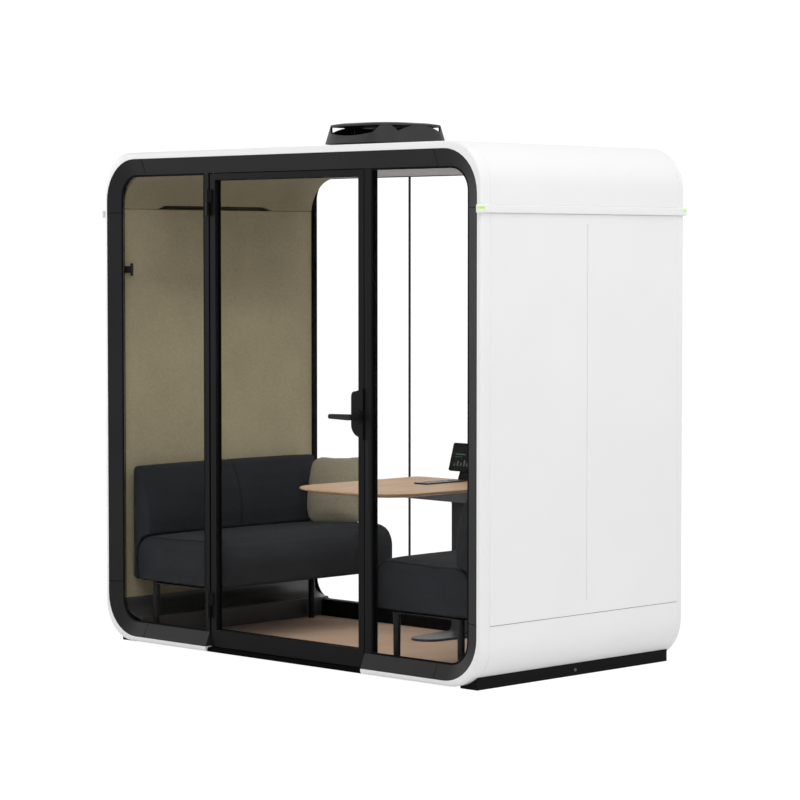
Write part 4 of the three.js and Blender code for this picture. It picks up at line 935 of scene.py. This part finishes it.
@dataclass
class Pad:
    """A padded piece: the solid's form, remeshed, swelled as cloth and drawn in at its seams."""

    shop: Workshop
    node: str
    voxel: float = 0.009
    pressure: float = 4.0
    cap: float = 0.006
    fill: float = 0.8
    frames: int = 14
    slim: float = 0.0008
    stretch: Point = (1.0, 1.0, 1.0)
    shift: Point = (0.0, 0.0, 0.0)
    rest: Callable[[Vector, Vector], float] = field(default=lambda place, way: 1.0)
    draw: Callable[[Vector, Vector], float] = field(default=lambda place, way: 0.0)

    def base(self) -> bpy.types.Object:
        """The solid's form in even faces, a little slimmer than the solid."""
        work = bmesh.new()
        work.from_mesh(self.shop.nodes[self.node].data)
        bmesh.ops.remove_doubles(work, verts=work.verts, dist=2e-6)
        low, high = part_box(self.node)
        middle = (low + high) / 2
        for vert in work.verts:
            vert.co = middle + (vert.co - middle) * Vector(self.stretch) + Vector(self.shift)
        form = BVHTree.FromBMesh(work)
        mesh = bpy.data.meshes.new(self.node + "_pad")
        work.to_mesh(mesh)
        work.free()
        thing = bpy.data.objects.new(self.node + "_pad", mesh)
        bpy.context.scene.collection.objects.link(thing)
        even = thing.modifiers.new("even", "REMESH")
        even.mode = "VOXEL"
        even.voxel_size = self.voxel
        bpy.context.view_layer.update()
        thing.data = plain_mesh(thing)
        thing.modifiers.clear()
        work = bmesh.new()
        work.from_mesh(thing.data)
        for _ in range(2):
            bmesh.ops.smooth_vert(work, verts=work.verts, factor=0.5, use_axis_x=True,
                                  use_axis_y=True, use_axis_z=True)
        for vert in work.verts:
            vert.co = form.find_nearest(vert.co)[0]
        work.normal_update()
        for vert in work.verts:
            vert.co -= vert.normal * self.slim
        work.to_mesh(thing.data)
        work.free()
        return thing

    def swelled(self, thing: bpy.types.Object) -> list[Vector]:
        """Where the cloth's points go under pressure.

        Args:
            thing: The pad.

        Returns:
            The points.
        """
        cloth = thing.modifiers.new("cloth", "CLOTH")
        cloth.settings.use_pressure = True
        cloth.settings.uniform_pressure_force = self.pressure
        cloth.settings.effector_weights.gravity = 0
        cloth.settings.quality = 4
        cloth.settings.mass = 0.3
        cloth.settings.tension_stiffness = 25
        cloth.settings.compression_stiffness = 25
        cloth.settings.bending_stiffness = 1.5
        cloth.point_cache.frame_start = 1
        cloth.point_cache.frame_end = self.frames
        scene = bpy.context.scene
        for step in range(1, self.frames + 1):
            scene.frame_set(step)
        graph = bpy.context.evaluated_depsgraph_get()
        result = [vert.co.copy() for vert in thing.evaluated_get(graph).data.vertices]
        thing.modifiers.remove(cloth)
        scene.frame_set(1)
        return result

    def build(self) -> bpy.types.Object:
        """Makes the pad in the solid's place.

        Returns:
            The piece.
        """
        thing = self.base()
        mesh = thing.data
        start = [vert.co.copy() for vert in mesh.vertices]
        ways = [vert.normal.copy() for vert in mesh.vertices]
        goal = self.swelled(thing)
        for vert, first, way, last in zip(mesh.vertices, start, ways, goal):
            move = last - first
            most = self.cap * self.rest(first, way)
            if move.length > most:
                move = move.normalized() * most
            vert.co = first + move - way * self.draw(first, way)
        mesh.shade_smooth()
        mesh.materials.clear()
        mesh.materials.append(self.shop.finish(self.shop.slots[self.node]))
        fine = thing.modifiers.new("fine", "SUBSURF")
        fine.levels = 1
        fine.render_levels = 1
        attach(thing, self.shop.body_of(self.node))
        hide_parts(self.node)
        log.info("%s swelled by up to %.1f mm", thing.name, 1000 * self.cap)
        return thing


@dataclass
class Shell:
    """White shell, trims, rails and their lights, and the black base."""

    shop: Workshop
    crew: Fasteners
    trim_ease: float = 0.0012
    bolt_radius: float = 0.007
    seam_height: float = 0.0013
    left_reach: float = 0.0040
    seam_depth: float = 0.0006
    seam_proud: float = 0.0002

    def build(self) -> None:
        """Dresses the shell and adds its bolts."""
        for side in Side:
            for part in ("side_panel", "lower_curve"):
                self.shop.softened(f"{part}_{side.word}", 0.0008)
            rail = self.shop.softened(f"light_rail_{side.word}", 0.0070, 4)
            guides = [self.shop.softened(f"light_guide_{end}_{side.word}", 0.0006) for end in ("front", "rear")]
            if side is Side.LEFT:
                self.cut_back([rail, guides[0]])
        self.shop.softened("roof_shell", 0.0008)
        self.shop.softened("front_edge_trim", self.trim_ease)
        self.shop.softened("rear_edge_trim", self.trim_ease)
        self.shop.softened("base_frame", 0.0010)
        self.bolts()
        self.seams()

    def cut_back(self, things: Sequence[bpy.types.Object]) -> None:
        """Ends the left rail and its guide just past the front trim, as the photograph has them.

        Args:
            things: The pieces to cut back.
        """
        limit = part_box("front_edge_trim")[0].y - self.left_reach
        for thing in things:
            for vertex in thing.data.vertices:
                vertex.co.y = max(vertex.co.y, limit)

    def seams(self) -> None:
        """Adds a dark strip in the joint under each side panel: painted shadow of the gap."""
        rings = []
        for side in Side:
            low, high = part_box(f"side_panel_{side.word}")
            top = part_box(f"lower_curve_{side.word}")[1].z
            reach = high.x if side is Side.RIGHT else low.x
            x = reach - side.value * (self.seam_depth - self.seam_proud)
            middle, half = (low.z + top) / 2, self.seam_height / 2
            ring = [Vector((x, low.y, middle - half)), Vector((x, high.y, middle - half)),
                    Vector((x, high.y, middle + half)), Vector((x, low.y, middle + half))]
            rings.append(ring if side is Side.RIGHT else list(reversed(ring)))
        self.shop.piece("side_seams", plates(rings, self.seam_depth), "seam_shadow", slot="shell_white")

    def bolts(self) -> None:
        """Adds the bolt on the outer face of each skid."""
        low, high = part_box("base_frame")
        middle = (low.y + high.y) / 2
        spots = [((side.value * high.x, middle, 0.022), (side.value, 0.0, 0.0)) for side in Side]
        self.crew.place("skid_bolts", spots, self.bolt_radius, 0.003)


@dataclass
class Glazing:
    """Bevelled frames, panes, gaskets and the joints of the frames' corner castings."""

    shop: Workshop
    bead: float = 0.0020
    seal: float = 0.0080
    inner_seal: float = 0.0030
    opening: float = 1.020
    foot: float = 0.0885
    head: float = 1.9965
    rear_head: float = 2.0035
    corner: float = 0.096
    lip_side: float = 1.085
    lip_foot: float = 0.0295
    lip_head: float = 2.0635
    lip_corner: float = 0.175
    front: float = -0.603
    recess: float = -0.577
    rear_recess: float = 0.580
    joint_width: float = 0.0024
    joint_across: float = 0.857
    joint_rise: float = 0.227

    def build(self) -> None:
        """Dresses frames and panes, and adds gaskets and joint lines."""
        for node in ("front_frame_left", "front_frame_right", "front_frame_head", "rear_frame"):
            self.shop.softened(node, 0.0007)
        for node in ("hinge_jamb", "lock_jamb"):
            self.shop.softened(node, 0.0007, finish="door_black")
        self.shop.softened("door_threshold", 0.0010, finish="sill_black")
        for node in ("front_glass_left", "front_glass_right", "rear_glass_left",
                     "rear_glass_centre", "rear_glass_right"):
            self.shop.softened(node, 0.0008, 1)
        self.gaskets()
        self.joints()

    def gaskets(self) -> None:
        """Adds a flat rubber seal round each front pane, one round the rear glazing and the door's head seal."""
        hinge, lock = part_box("hinge_jamb"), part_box("lock_jamb")
        front_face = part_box("front_glass_left")[0].y - 0.0001
        inner_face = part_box("front_glass_left")[1].y + 0.0001
        rear_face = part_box("rear_glass_left")[1].y + 0.0001
        radius = self.corner
        left, right = (-self.opening, hinge[0].x), (lock[1].x, self.opening)
        left_radii, right_radii = (radius, 0.0, 0.0, radius), (0.0, radius, radius, 0.0)
        loops = {
            "front_gasket_left": (left, self.head, front_face, left_radii, self.seal, -self.bead),
            "front_gasket_right": (right, self.head, front_face, right_radii, self.seal, -self.bead),
            "inner_gasket_left": (left, self.head, inner_face, left_radii, self.inner_seal, self.bead),
            "inner_gasket_right": (right, self.head, inner_face, right_radii, self.inner_seal, self.bead),
            "rear_gasket": ((-self.opening, self.opening), self.rear_head, rear_face, (radius,) * 4,
                            self.bead, self.bead),
        }
        for name, (across, head, depth, radii, wide, thick) in loops.items():
            outer = rounded_loop(across, (self.foot, head), depth, radii)
            inner = rounded_loop((across[0] + wide, across[1] - wide), (self.foot + wide, head - wide), depth,
                                 tuple(max(0.0, corner - wide) for corner in radii))
            self.shop.piece(name, band(outer, inner, thick), "gasket", slot="frame_black")
        self.head_seal(hinge[1].x, lock[0].x)

    def head_seal(self, left: float, right: float) -> None:
        """Adds the strip that closes the gap over the door from inside.

        Args:
            left: The strip's left end.
            right: Its right end.
        """
        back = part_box("door_frame")[1].y + 0.001
        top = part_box("ceiling_panel")[0].z - 0.0002
        corners = [Vector((left, back + 0.004, top - 0.022)), Vector((right, back + 0.004, top - 0.022)),
                   Vector((right, back + 0.004, top)), Vector((left, back + 0.004, top))]
        self.shop.piece("door_head_seal", plates([corners], 0.004), "gasket", slot="frame_black")

    def joints(self) -> None:
        """Adds the fine joint lines where corner castings meet straight lengths."""
        side = self.joint_across
        low = self.lip_foot + self.joint_rise
        high = self.lip_head - self.joint_rise
        half = self.joint_width / 2
        frames = (("front_joints", self.front, self.recess, self.head),
                  ("rear_joints", -self.front, self.rear_recess, self.rear_head))
        for name, lip, inner, top in frames:
            rings = []
            for sign in (-1, 1):
                for outer, opened in ((self.lip_foot, self.foot), (self.lip_head, top)):
                    edge = 0.0006 if outer < opened else -0.0006
                    rings.append([
                        Vector((sign * side - half, lip, outer + edge)),
                        Vector((sign * side + half, lip, outer + edge)),
                        Vector((sign * side + half, inner, opened - edge)),
                        Vector((sign * side - half, inner, opened - edge)),
                    ])
                for level in (low, high):
                    rings.append([
                        Vector((sign * (self.lip_side - 0.0006), lip, level - half)),
                        Vector((sign * (self.lip_side - 0.0006), lip, level + half)),
                        Vector((sign * (self.opening + 0.0006), inner, level + half)),
                        Vector((sign * (self.opening + 0.0006), inner, level - half)),
                    ])
            out = -1 if lip < 0 else 1
            facing = []
            for ring in rings:
                normal = (ring[1] - ring[0]).cross(ring[2] - ring[1])
                facing.append(ring if normal.y * out > 0 else list(reversed(ring)))
            self.shop.piece(name, plates(facing, 0.00025), "seam_shadow", slot="frame_black")


@dataclass
class Door:
    """Door leaf with its glass, gasket, hinges, lock cases, levers and latch."""

    shop: Workshop
    crew: Fasteners
    bead: float = 0.0016
    screw: float = 0.0042
    strike: tuple[float, float] = (0.014, 0.1106)
    strike_thick: float = 0.0012
    strike_sunk: float = 0.0014

    def build(self) -> None:
        """Dresses the door's pieces and adds gaskets and screws."""
        self.shop.softened("door_frame", 0.0009, finish="door_black")
        self.shop.softened("door_glass", 0.0008, 1)
        for node in ("lock_case_outer", "lock_case_inner"):
            self.shop.softened(node, 0.0018, 3, finish="door_black")
        for node in ("lever_outer", "lever_inner"):
            self.shop.softened(node, 0.0030, 4)
        self.shop.softened("latch_bolt", 0.0010)
        for place in ("upper", "lower"):
            for half in ("frame", "door"):
                self.shop.softened(f"hinge_{place}_{half}_half", 0.0008, finish="door_black")
        self.gaskets()
        self.screws()
        self.striker()

    def striker(self) -> None:
        """Adds the strike plate that covers the notch in the lock jamb."""
        jamb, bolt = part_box("lock_jamb")[0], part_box("latch_bolt")
        middle, half = (bolt[0].z + bolt[1].z) / 2, self.strike[1] / 2
        left, right = jamb.x + 0.0004, jamb.x + 0.0004 + self.strike[0]
        y = jamb.y + self.strike_sunk
        ring = [Vector((left, y, middle - half)), Vector((right, y, middle - half)),
                Vector((right, y, middle + half)), Vector((left, y, middle + half))]
        self.shop.piece("strike_plate", plates([ring], self.strike_thick), "door_black", slot="frame_black")

    def gaskets(self) -> None:
        """Adds a bead round the door glass on both of its faces."""
        low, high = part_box("door_glass")
        bite = 0.010
        across = (low.x + bite + self.bead, high.x - bite - self.bead)
        levels = (low.z + bite + self.bead, high.z - bite - self.bead)
        for name, depth in (("outer", low.y - self.bead), ("inner", high.y + self.bead)):
            path = rounded_loop(across, levels, depth, (0.0, 0.0, 0.0, 0.0))
            self.shop.piece(f"door_gasket_{name}", swept(path, self.bead), "gasket", "door", "frame_black")

    def screws(self) -> None:
        """Adds the screws of the hinge plates."""
        for half, body in (("frame", "pod"), ("door", "door")):
            spots = []
            for place in ("upper", "lower"):
                low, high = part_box(f"hinge_{place}_{half}_half")
                x = low.x + 0.0065 if half == "frame" else high.x - 0.0065
                top = min(high.z, low.z + 0.050)
                for level in (low.z + 0.012, top - 0.012):
                    spots.append(((x, high.y - 0.004, level), (0.0, -1.0, 0.0)))
            self.crew.place(f"hinge_screws_{half}", spots, self.screw, 0.0016, body)


@dataclass
class Lining:
    """Felt walls and corners, ceiling, coves, skirting, carpet and coat hook."""

    shop: Workshop
    vent_low: float = 0.679
    vent_high: float = 0.590
    vent_height: float = 0.018
    vent_depth: float = 0.025
    vent_middle: float = -0.018
    vent_gap: float = 0.0004

    def build(self) -> None:
        """Dresses the lining."""
        for side in Side:
            self.shop.softened(f"wall_felt_{side.word}", 0.0020, 3)
            # The corner panels take the darker felt: painted shade under the ceiling.
            self.shop.softened(f"corner_felt_{side.word}", 0.0020, 3, finish="felt_painted_shade")
            self.shop.softened(f"cove_{side.word}", 0.0010)
        self.shop.softened("ceiling_panel", 0.0015)
        self.shop.softened("rear_skirting", 0.0010)
        self.shop.softened("floor_carpet", 0.0015)
        self.shop.softened("coat_hook", 0.0012, 3)
        self.vents()

    def vents(self) -> None:
        """Adds a dark plate at the back of the slot in each corner panel: painted shade of the recess."""
        rings = []
        for side in Side:
            low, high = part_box(f"wall_felt_{side.word}")
            face = low.x if side is Side.RIGHT else high.x
            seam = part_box(f"corner_felt_{side.word}")[0].z + self.vent_gap
            x = face + side.value * (self.vent_depth - self.vent_gap)
            top = seam + self.vent_height - 2 * self.vent_gap
            foot, crown = self.vent_low / 2 - self.vent_gap, self.vent_high / 2 - self.vent_gap
            ring = [Vector((x, self.vent_middle + foot, seam)), Vector((x, self.vent_middle - foot, seam)),
                    Vector((x, self.vent_middle - crown, top)), Vector((x, self.vent_middle + crown, top))]
            rings.append(ring if side is Side.RIGHT else list(reversed(ring)))
        self.shop.piece("vent_meshes", plates(rings, 0.001), "vent_painted_shade", slot="felt_khaki")


@dataclass
class Sofa:
    """One sofa: padded seat and back with their seams, on a welded underframe."""

    shop: Workshop
    stitches: Stitches
    side: Side
    seam_depth: float = 0.0035
    seam_width: float = 0.006
    welt: float = 0.0013
    welt_inset: float = 0.006

    def build(self) -> None:
        """Makes the pads, sews the seam and dresses the underframe."""
        word = self.side.word
        seat_low, seat_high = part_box(f"sofa_{word}_seat")
        back_low, back_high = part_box(f"sofa_{word}_back")
        middle = (back_low.y + back_high.y) / 2
        sign = -self.side.value

        def seat_rest(place: Vector, way: Vector) -> float:
            """How freely the seat swells: not on its underside, and not under the backrest."""
            under = 0.0 if way.z < -0.4 else 1.0
            depth = (place.x - seat_low.x) if sign > 0 else (seat_high.x - place.x)
            return under * min(1.0, max(0.0, (depth - 0.13) / 0.05))

        def seat_draw(place: Vector, way: Vector) -> float:
            """Seams that draw the seat in along its end panels."""
            inset = min(place.y - seat_low.y, seat_high.y - place.y) - 0.016
            return 0.0010 * math.exp(-((inset / 0.007) ** 2)) if abs(way.y) < 0.7 else 0.0

        def back_rest(place: Vector, way: Vector) -> float:
            """How freely the backrest swells: only on its front above the seat."""
            front = max(0.0, sign * way.x)
            return front * min(1.0, max(0.0, (place.z - seat_high.z - 0.01) / 0.06))

        def back_draw(place: Vector, way: Vector) -> float:
            """The seam down the middle, and the edge seams at the ends."""
            if sign * way.x < 0.2:
                return 0.0
            seam = self.seam_depth * math.exp(-(((place.y - middle) / self.seam_width) ** 2))
            inset = min(place.y - back_low.y, back_high.y - place.y) - 0.018
            return seam + 0.0010 * math.exp(-((inset / 0.007) ** 2))

        seat = Pad(self.shop, f"sofa_{word}_seat", 0.009, 4.0, 0.004, 0.85, rest=seat_rest,
                   draw=seat_draw).build()
        pad = Pad(self.shop, f"sofa_{word}_back", 0.008, 4.0, 0.004, 0.85, rest=back_rest,
                  draw=back_draw).build()
        self.shop.softened(f"sofa_{word}_underframe", 0.0008, finish="leg_black")
        self.sew(pad, middle, seat_high.z + 0.010, back_high.z - 0.03)
        self.welts(seat)

    def welts(self, seat: bpy.types.Object) -> None:
        """Adds the fine welt where each end panel of the seat is sewn on.

        Args:
            seat: The seat's pad.
        """
        tree = BVHTree.FromPolygons([v.co for v in seat.data.vertices],
                                    [tuple(p.vertices) for p in seat.data.polygons])
        low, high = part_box(f"sofa_{self.side.word}_seat")
        steps = 120
        for label, y in (("front", low.y + self.welt_inset), ("rear", high.y - self.welt_inset)):
            middle = Vector(((low.x + high.x) / 2, y, (low.z + high.z) / 2))
            path = []
            for step in range(steps):
                angle = 2 * math.pi * step / steps
                way = Vector((math.cos(angle), 0.0, math.sin(angle)))
                hit = tree.ray_cast(middle + way, -way)[0]
                if hit is not None:
                    path.append(hit)
            self.shop.piece(f"sofa_{self.side.word}_welt_{label}", swept(path, self.welt), "thread",
                            slot="sofa_navy")

    def sew(self, pad: bpy.types.Object, middle: float, low: float, high: float) -> None:
        """Sews a row of stitches beside the middle seam.

        Args:
            pad: The backrest's pad.
            middle: The seam's place along the sofa.
            low: The row's lower end.
            high: Its upper end.
        """
        tree = BVHTree.FromPolygons([v.co for v in pad.data.vertices],
                                    [tuple(p.vertices) for p in pad.data.polygons])
        sign = -self.side.value
        rows = 40
        for label, shift in (("near", -0.009), ("far", 0.009)):
            path = []
            for step in range(rows + 1):
                level = low + (high - low) * step / rows
                hit = tree.ray_cast(Vector((0.0, middle + shift, level)), Vector((-sign, 0.0, 0.0)))[0]
                if hit is not None:
                    path.append(hit + Vector((sign * 0.0001, 0.0, 0.0)))
            if len(path) > 2:
                self.stitches.sew(f"sofa_{self.side.word}_stitches_{label}", path, "sofa_navy")


@dataclass
class Cushion:
    """The loose pillow on the left sofa."""

    shop: Workshop

    def build(self) -> None:
        """Makes the pillow."""
        low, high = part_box("pillow")

        def rest(place: Vector, way: Vector) -> float:
            """How freely the pillow swells: less where it stands on the seat."""
            return min(1.0, max(0.1, (place.z - low.z - 0.004) / 0.05))

        Pad(self.shop, "pillow", 0.006, 4.0, 0.008, 0.75, stretch=(1.0, 1.0, 1.09), shift=(0.0, 0.0, -0.003),
            rest=rest).build()


@dataclass
class Table:
    """Oak table on its leg, with the power strip and the display."""

    shop: Workshop
    crew: Fasteners
    tilt: float = math.radians(17.0)
    outlet_pitch: float = 0.074
    outlets: int = 3

    def build(self) -> None:
        """Dresses the table and adds outlets and the screen's bars."""
        self.shop.softened("table_top", 0.0016, 3)
        self.shop.softened("table_leg", 0.0014, 3)
        self.shop.softened("power_strip", 0.0006)
        self.shop.softened("display", 0.0008)
        self.sockets()
        self.screen()

    def sockets(self) -> None:
        """Adds the dark outlet in each recess of the strip."""
        low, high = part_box("power_strip")
        floor = high.z - 0.003
        middle = (low.y + high.y) / 2
        rings = []
        for index in range(self.outlets):
            y = middle + (index - (self.outlets - 1) / 2) * self.outlet_pitch
            rings.append([
                Vector((-0.0135, y - 0.0245, floor)),
                Vector((0.0135, y - 0.0245, floor)),
                Vector((0.0135, y + 0.0245, floor)),
                Vector((-0.0135, y + 0.0245, floor)),
            ])
        self.shop.piece("strip_outlets", plates(rings, 0.0016), "socket", slot="strip_grey")

    def on_screen(self, u: float, v: float) -> Vector:
        """A place on the sunk screen.

        Args:
            u: Metres to the right of its middle.
            v: Metres up from the panel's lower edge.

        Returns:
            The place.
        """
        rise = math.pi / 2 - self.tilt
        up = Vector((0.0, math.cos(rise), math.sin(rise)))
        out = Vector((0.0, -math.sin(rise), math.cos(rise)))
        root = Vector((0.0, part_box("table_top")[1].y - 0.042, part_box("table_top")[1].z + 0.038))
        return root + Vector((u, 0.0, 0.0)) + up * v + out * 0.00925

    def bar(self, u: float, v: float, wide: float, tall: float) -> list[Vector]:
        """The corners of one bar on the screen.

        Args:
            u: Its left edge.
            v: Its lower edge.
            wide: Width.
            tall: Height.

        Returns:
            The corners.
        """
        return [self.on_screen(u, v), self.on_screen(u + wide, v),
                self.on_screen(u + wide, v + tall), self.on_screen(u, v + tall)]

    def screen(self) -> None:
        """Adds plain bars to the screen: a heading, a line and a row of columns."""
        rows = [self.bar(-0.066, 0.072, 0.058, 0.005)]
        heights = (0.010, 0.022, 0.015, 0.027, 0.018, 0.024, 0.012)
        columns = [self.bar(-0.066 + 0.019 * i, 0.022, 0.008, tall) for i, tall in enumerate(heights)]
        self.shop.piece("display_bars", plates(rows + columns, 0.00015), "screen_pale", slot="screen_dark")
        mark = [self.bar(-0.066, 0.062, 0.040, 0.0025)]
        self.shop.piece("display_mark", plates(mark, 0.00015), "screen_green", slot="screen_dark")


@dataclass
class Ventilator:
    """Roof ventilator: cowl, rotor and the dark ring at the cowl's foot on the roof, painted shade of the gap
    under it.
    """

    shop: Workshop
    lip: float = 0.0008
    rise: float = 0.0060

    def build(self) -> None:
        """Dresses the ventilator."""
        self.shop.softened("fan_cowl", 0.0012, 2, 28.0)
        self.shop.softened("fan_rotor", 0.0008)
        self.seal()

    def seal(self) -> None:
        """Adds a dark ring round the cowl's foot on the roof: painted shade of the gap under the cowl."""
        points = [vert.co for vert in self.shop.nodes["fan_cowl"].data.vertices]
        foot = min(point.z for point in points)
        flat = sorted({(point.x, point.y) for point in points if point.z < foot + 0.001})
        loop: list[tuple[float, float]] = []
        for run in (flat, flat[::-1]):
            start = len(loop)
            for x, y in run:
                while len(loop) - start > 1:
                    (ax, ay), (bx, by) = loop[-2:]
                    if (bx - ax) * (y - ay) - (by - ay) * (x - ax) > 0:
                        break
                    loop.pop()
                loop.append((x, y))
            loop.pop()
        middle = Vector((sum(x for x, _ in loop), sum(y for _, y in loop), 0.0)) / len(loop)

        def ring(grow: float) -> list[Vector]:
            """The seal's outline, grown about its middle."""
            edge = [Vector((x, y, 0.0)) - middle for x, y in loop]
            return [middle + way * (1 + grow / way.length) + Vector((0.0, 0.0, foot)) for way in edge]

        work = bmesh.new()
        rings = [[work.verts.new(point + Vector((0.0, 0.0, rise))) for point in ring(grow)]
                 for grow, rise in ((self.lip, 0.0), (self.lip, self.rise), (-0.002, self.rise), (-0.002, 0.0))]
        for first, second in zip(rings, rings[1:] + rings[:1]):
            for i in range(len(loop)):
                j = (i + 1) % len(loop)
                work.faces.new((first[i], first[j], second[j], second[i]))
        bmesh.ops.recalc_face_normals(work, faces=work.faces)
        mesh = bpy.data.meshes.new("fan_seal")
        work.to_mesh(mesh)
        work.free()
        self.shop.piece("fan_seal", mesh, "gasket", slot="fan_black")


@dataclass
class Studio:
    """Camera, soft light, white surroundings and a pale floor."""

    place: Point = (8.5045, -8.533, 1.659)
    turn: float = math.radians(44.619)
    dip: float = math.radians(2.884)
    lens: float = 129.76
    sensor: float = 36.0
    around: float = 0.56
    shown: float = 1.06

    def camera(self) -> None:
        """Sets the camera at the photograph's place."""
        data = bpy.data.cameras.new("camera")
        data.lens = self.lens
        data.sensor_width = self.sensor
        data.clip_end = 200.0
        thing = bpy.data.objects.new("camera", data)
        way = Vector((-math.sin(self.turn) * math.cos(self.dip),
                      math.cos(self.turn) * math.cos(self.dip), -math.sin(self.dip)))
        thing.matrix_world = Matrix.Translation(self.place) @ way.to_track_quat("-Z", "Y").to_matrix().to_4x4()
        bpy.context.scene.collection.objects.link(thing)
        bpy.context.scene.camera = thing

    def lamp(self, name: str, place: Point, aim: Point, size: tuple[float, float], power: float,
             mirrored: bool = True) -> None:
        """Adds a soft rectangular lamp.

        Args:
            name: The lamp's name.
            place: Where it hangs.
            aim: What it points at.
            size: Its width and depth.
            power: Its power in watts.
            mirrored: Whether glossy surfaces show it.
        """
        data = bpy.data.lights.new(name, "AREA")
        data.shape = "RECTANGLE"
        data.size, data.size_y = size
        data.energy = power
        thing = bpy.data.objects.new(name, data)
        way = Vector(aim) - Vector(place)
        thing.matrix_world = Matrix.Translation(place) @ way.to_track_quat("-Z", "Y").to_matrix().to_4x4()
        thing.visible_camera = False
        thing.visible_glossy = mirrored
        bpy.context.scene.collection.objects.link(thing)

    def seen(self, tree: bpy.types.NodeTree) -> bpy.types.NodeSocket:
        """Whether a ray is one that shows the surroundings.

        Args:
            tree: The tree that asks.

        Returns:
            A factor.
        """
        path = tree.nodes.new("ShaderNodeLightPath")
        total = path.outputs["Is Camera Ray"]
        for name in ("Is Glossy Ray", "Is Transmission Ray"):
            node = tree.nodes.new("ShaderNodeMath")
            node.operation = "MAXIMUM"
            tree.links.new(total, node.inputs[0])
            tree.links.new(path.outputs[name], node.inputs[1])
            total = node.outputs[0]
        return total

    def world(self) -> None:
        """Makes the surroundings white to the eye and soft as light."""
        world = bpy.data.worlds.new("studio")
        bpy.context.scene.world = world
        world.use_nodes = True
        tree = world.node_tree
        tree.nodes.clear()
        light = tree.nodes.new("ShaderNodeBackground")
        light.inputs["Color"].default_value = (1.0, 1.0, 1.0, 1.0)
        light.inputs["Strength"].default_value = self.around
        white = tree.nodes.new("ShaderNodeBackground")
        white.inputs["Color"].default_value = (1.0, 1.0, 1.0, 1.0)
        white.inputs["Strength"].default_value = self.shown
        mix = tree.nodes.new("ShaderNodeMixShader")
        output = tree.nodes.new("ShaderNodeOutputWorld")
        tree.links.new(self.seen(tree), mix.inputs[0])
        tree.links.new(light.outputs[0], mix.inputs[1])
        tree.links.new(white.outputs[0], mix.inputs[2])
        tree.links.new(mix.outputs[0], output.inputs["Surface"])

    def floor(self) -> None:
        """Lays a pale floor that shows white and keeps a faint shadow."""
        mesh = bpy.data.meshes.new("floor")
        reach = 60.0
        mesh.from_pydata([(-reach, -reach, 0), (reach, -reach, 0), (reach, reach, 0), (-reach, reach, 0)],
                         [], [(0, 1, 2, 3)])
        tree = Shading("floor_pale")
        tree.give(Base_Color=tree.ramp(tree.noise(0.8), [(0.3, (0.84, 0.84, 0.84)), (0.7, (0.86, 0.86, 0.86))]),
                  Roughness=0.9, Specular_IOR_Level=0.0)
        nodes = tree.material.node_tree
        white = nodes.nodes.new("ShaderNodeEmission")
        white.inputs["Strength"].default_value = 1.14
        share = nodes.nodes.new("ShaderNodeMath")
        share.operation = "MULTIPLY"
        nodes.links.new(self.seen(nodes), share.inputs[0])
        share.inputs[1].default_value = 0.86
        mix = nodes.nodes.new("ShaderNodeMixShader")
        output = next(node for node in nodes.nodes if node.type == "OUTPUT_MATERIAL")
        nodes.links.new(share.outputs[0], mix.inputs[0])
        nodes.links.new(tree.shader.outputs[0], mix.inputs[1])
        nodes.links.new(white.outputs[0], mix.inputs[2])
        nodes.links.new(mix.outputs[0], output.inputs["Surface"])
        mesh.materials.append(tree.material)
        thing = bpy.data.objects.new("floor", mesh)
        bpy.context.scene.collection.objects.link(thing)
        thing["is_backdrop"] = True

    def build(self) -> None:
        """Sets up the studio."""
        bpy.context.scene.view_settings.view_transform = "Standard"
        self.camera()
        self.world()
        self.floor()
        self.lamp("key", (3.5, -5.5, 6.0), (0.0, 0.0, 1.0), (5.0, 5.0), 198.0)
        self.lamp("side", (7.0, 1.5, 4.6), (0.6, 0.0, 1.0), (4.0, 4.0), 126.0)
        self.lamp("overhead", (2.6, 0.3, 6.0), (0.6, 0.3, 2.0), (4.0, 3.0), 40.0)
        self.lamp("fill", (-8.0, -3.2, 2.6), (0.0, -0.4, 1.0), (4.0, 4.0), 235.0)
        self.lamp("cabin_down", (0.0, 0.0, 1.55), (0.0, 0.0, 0.0), (1.3, 0.7), 5.0, False)
        self.lamp("cabin_up", (0.0, -0.1, 1.25), (0.0, -0.1, 2.0), (1.2, 0.6), 0.12, False)
        self.lamp("cabin_low", (0.0, 0.0, 0.64), (0.0, 0.0, 0.0), (0.8, 0.8), 2.5, False)


def main() -> None:
    """Builds the dressed pod and the studio round it."""
    low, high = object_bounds()
    cad = (low.copy(), high.copy())
    shop = Workshop(frame["nodes"], frame["record"])
    crew = Fasteners(shop)
    stitches = Stitches(crew)
    Studio().build()
    Shell(shop, crew).build()
    Glazing(shop).build()
    Door(shop, crew).build()
    Lining(shop).build()
    for side in Side:
        Sofa(shop, stitches, side).build()
    Cushion(shop).build()
    Table(shop, crew).build()
    Ventilator(shop).build()


if __name__ == "__main__":
    main()
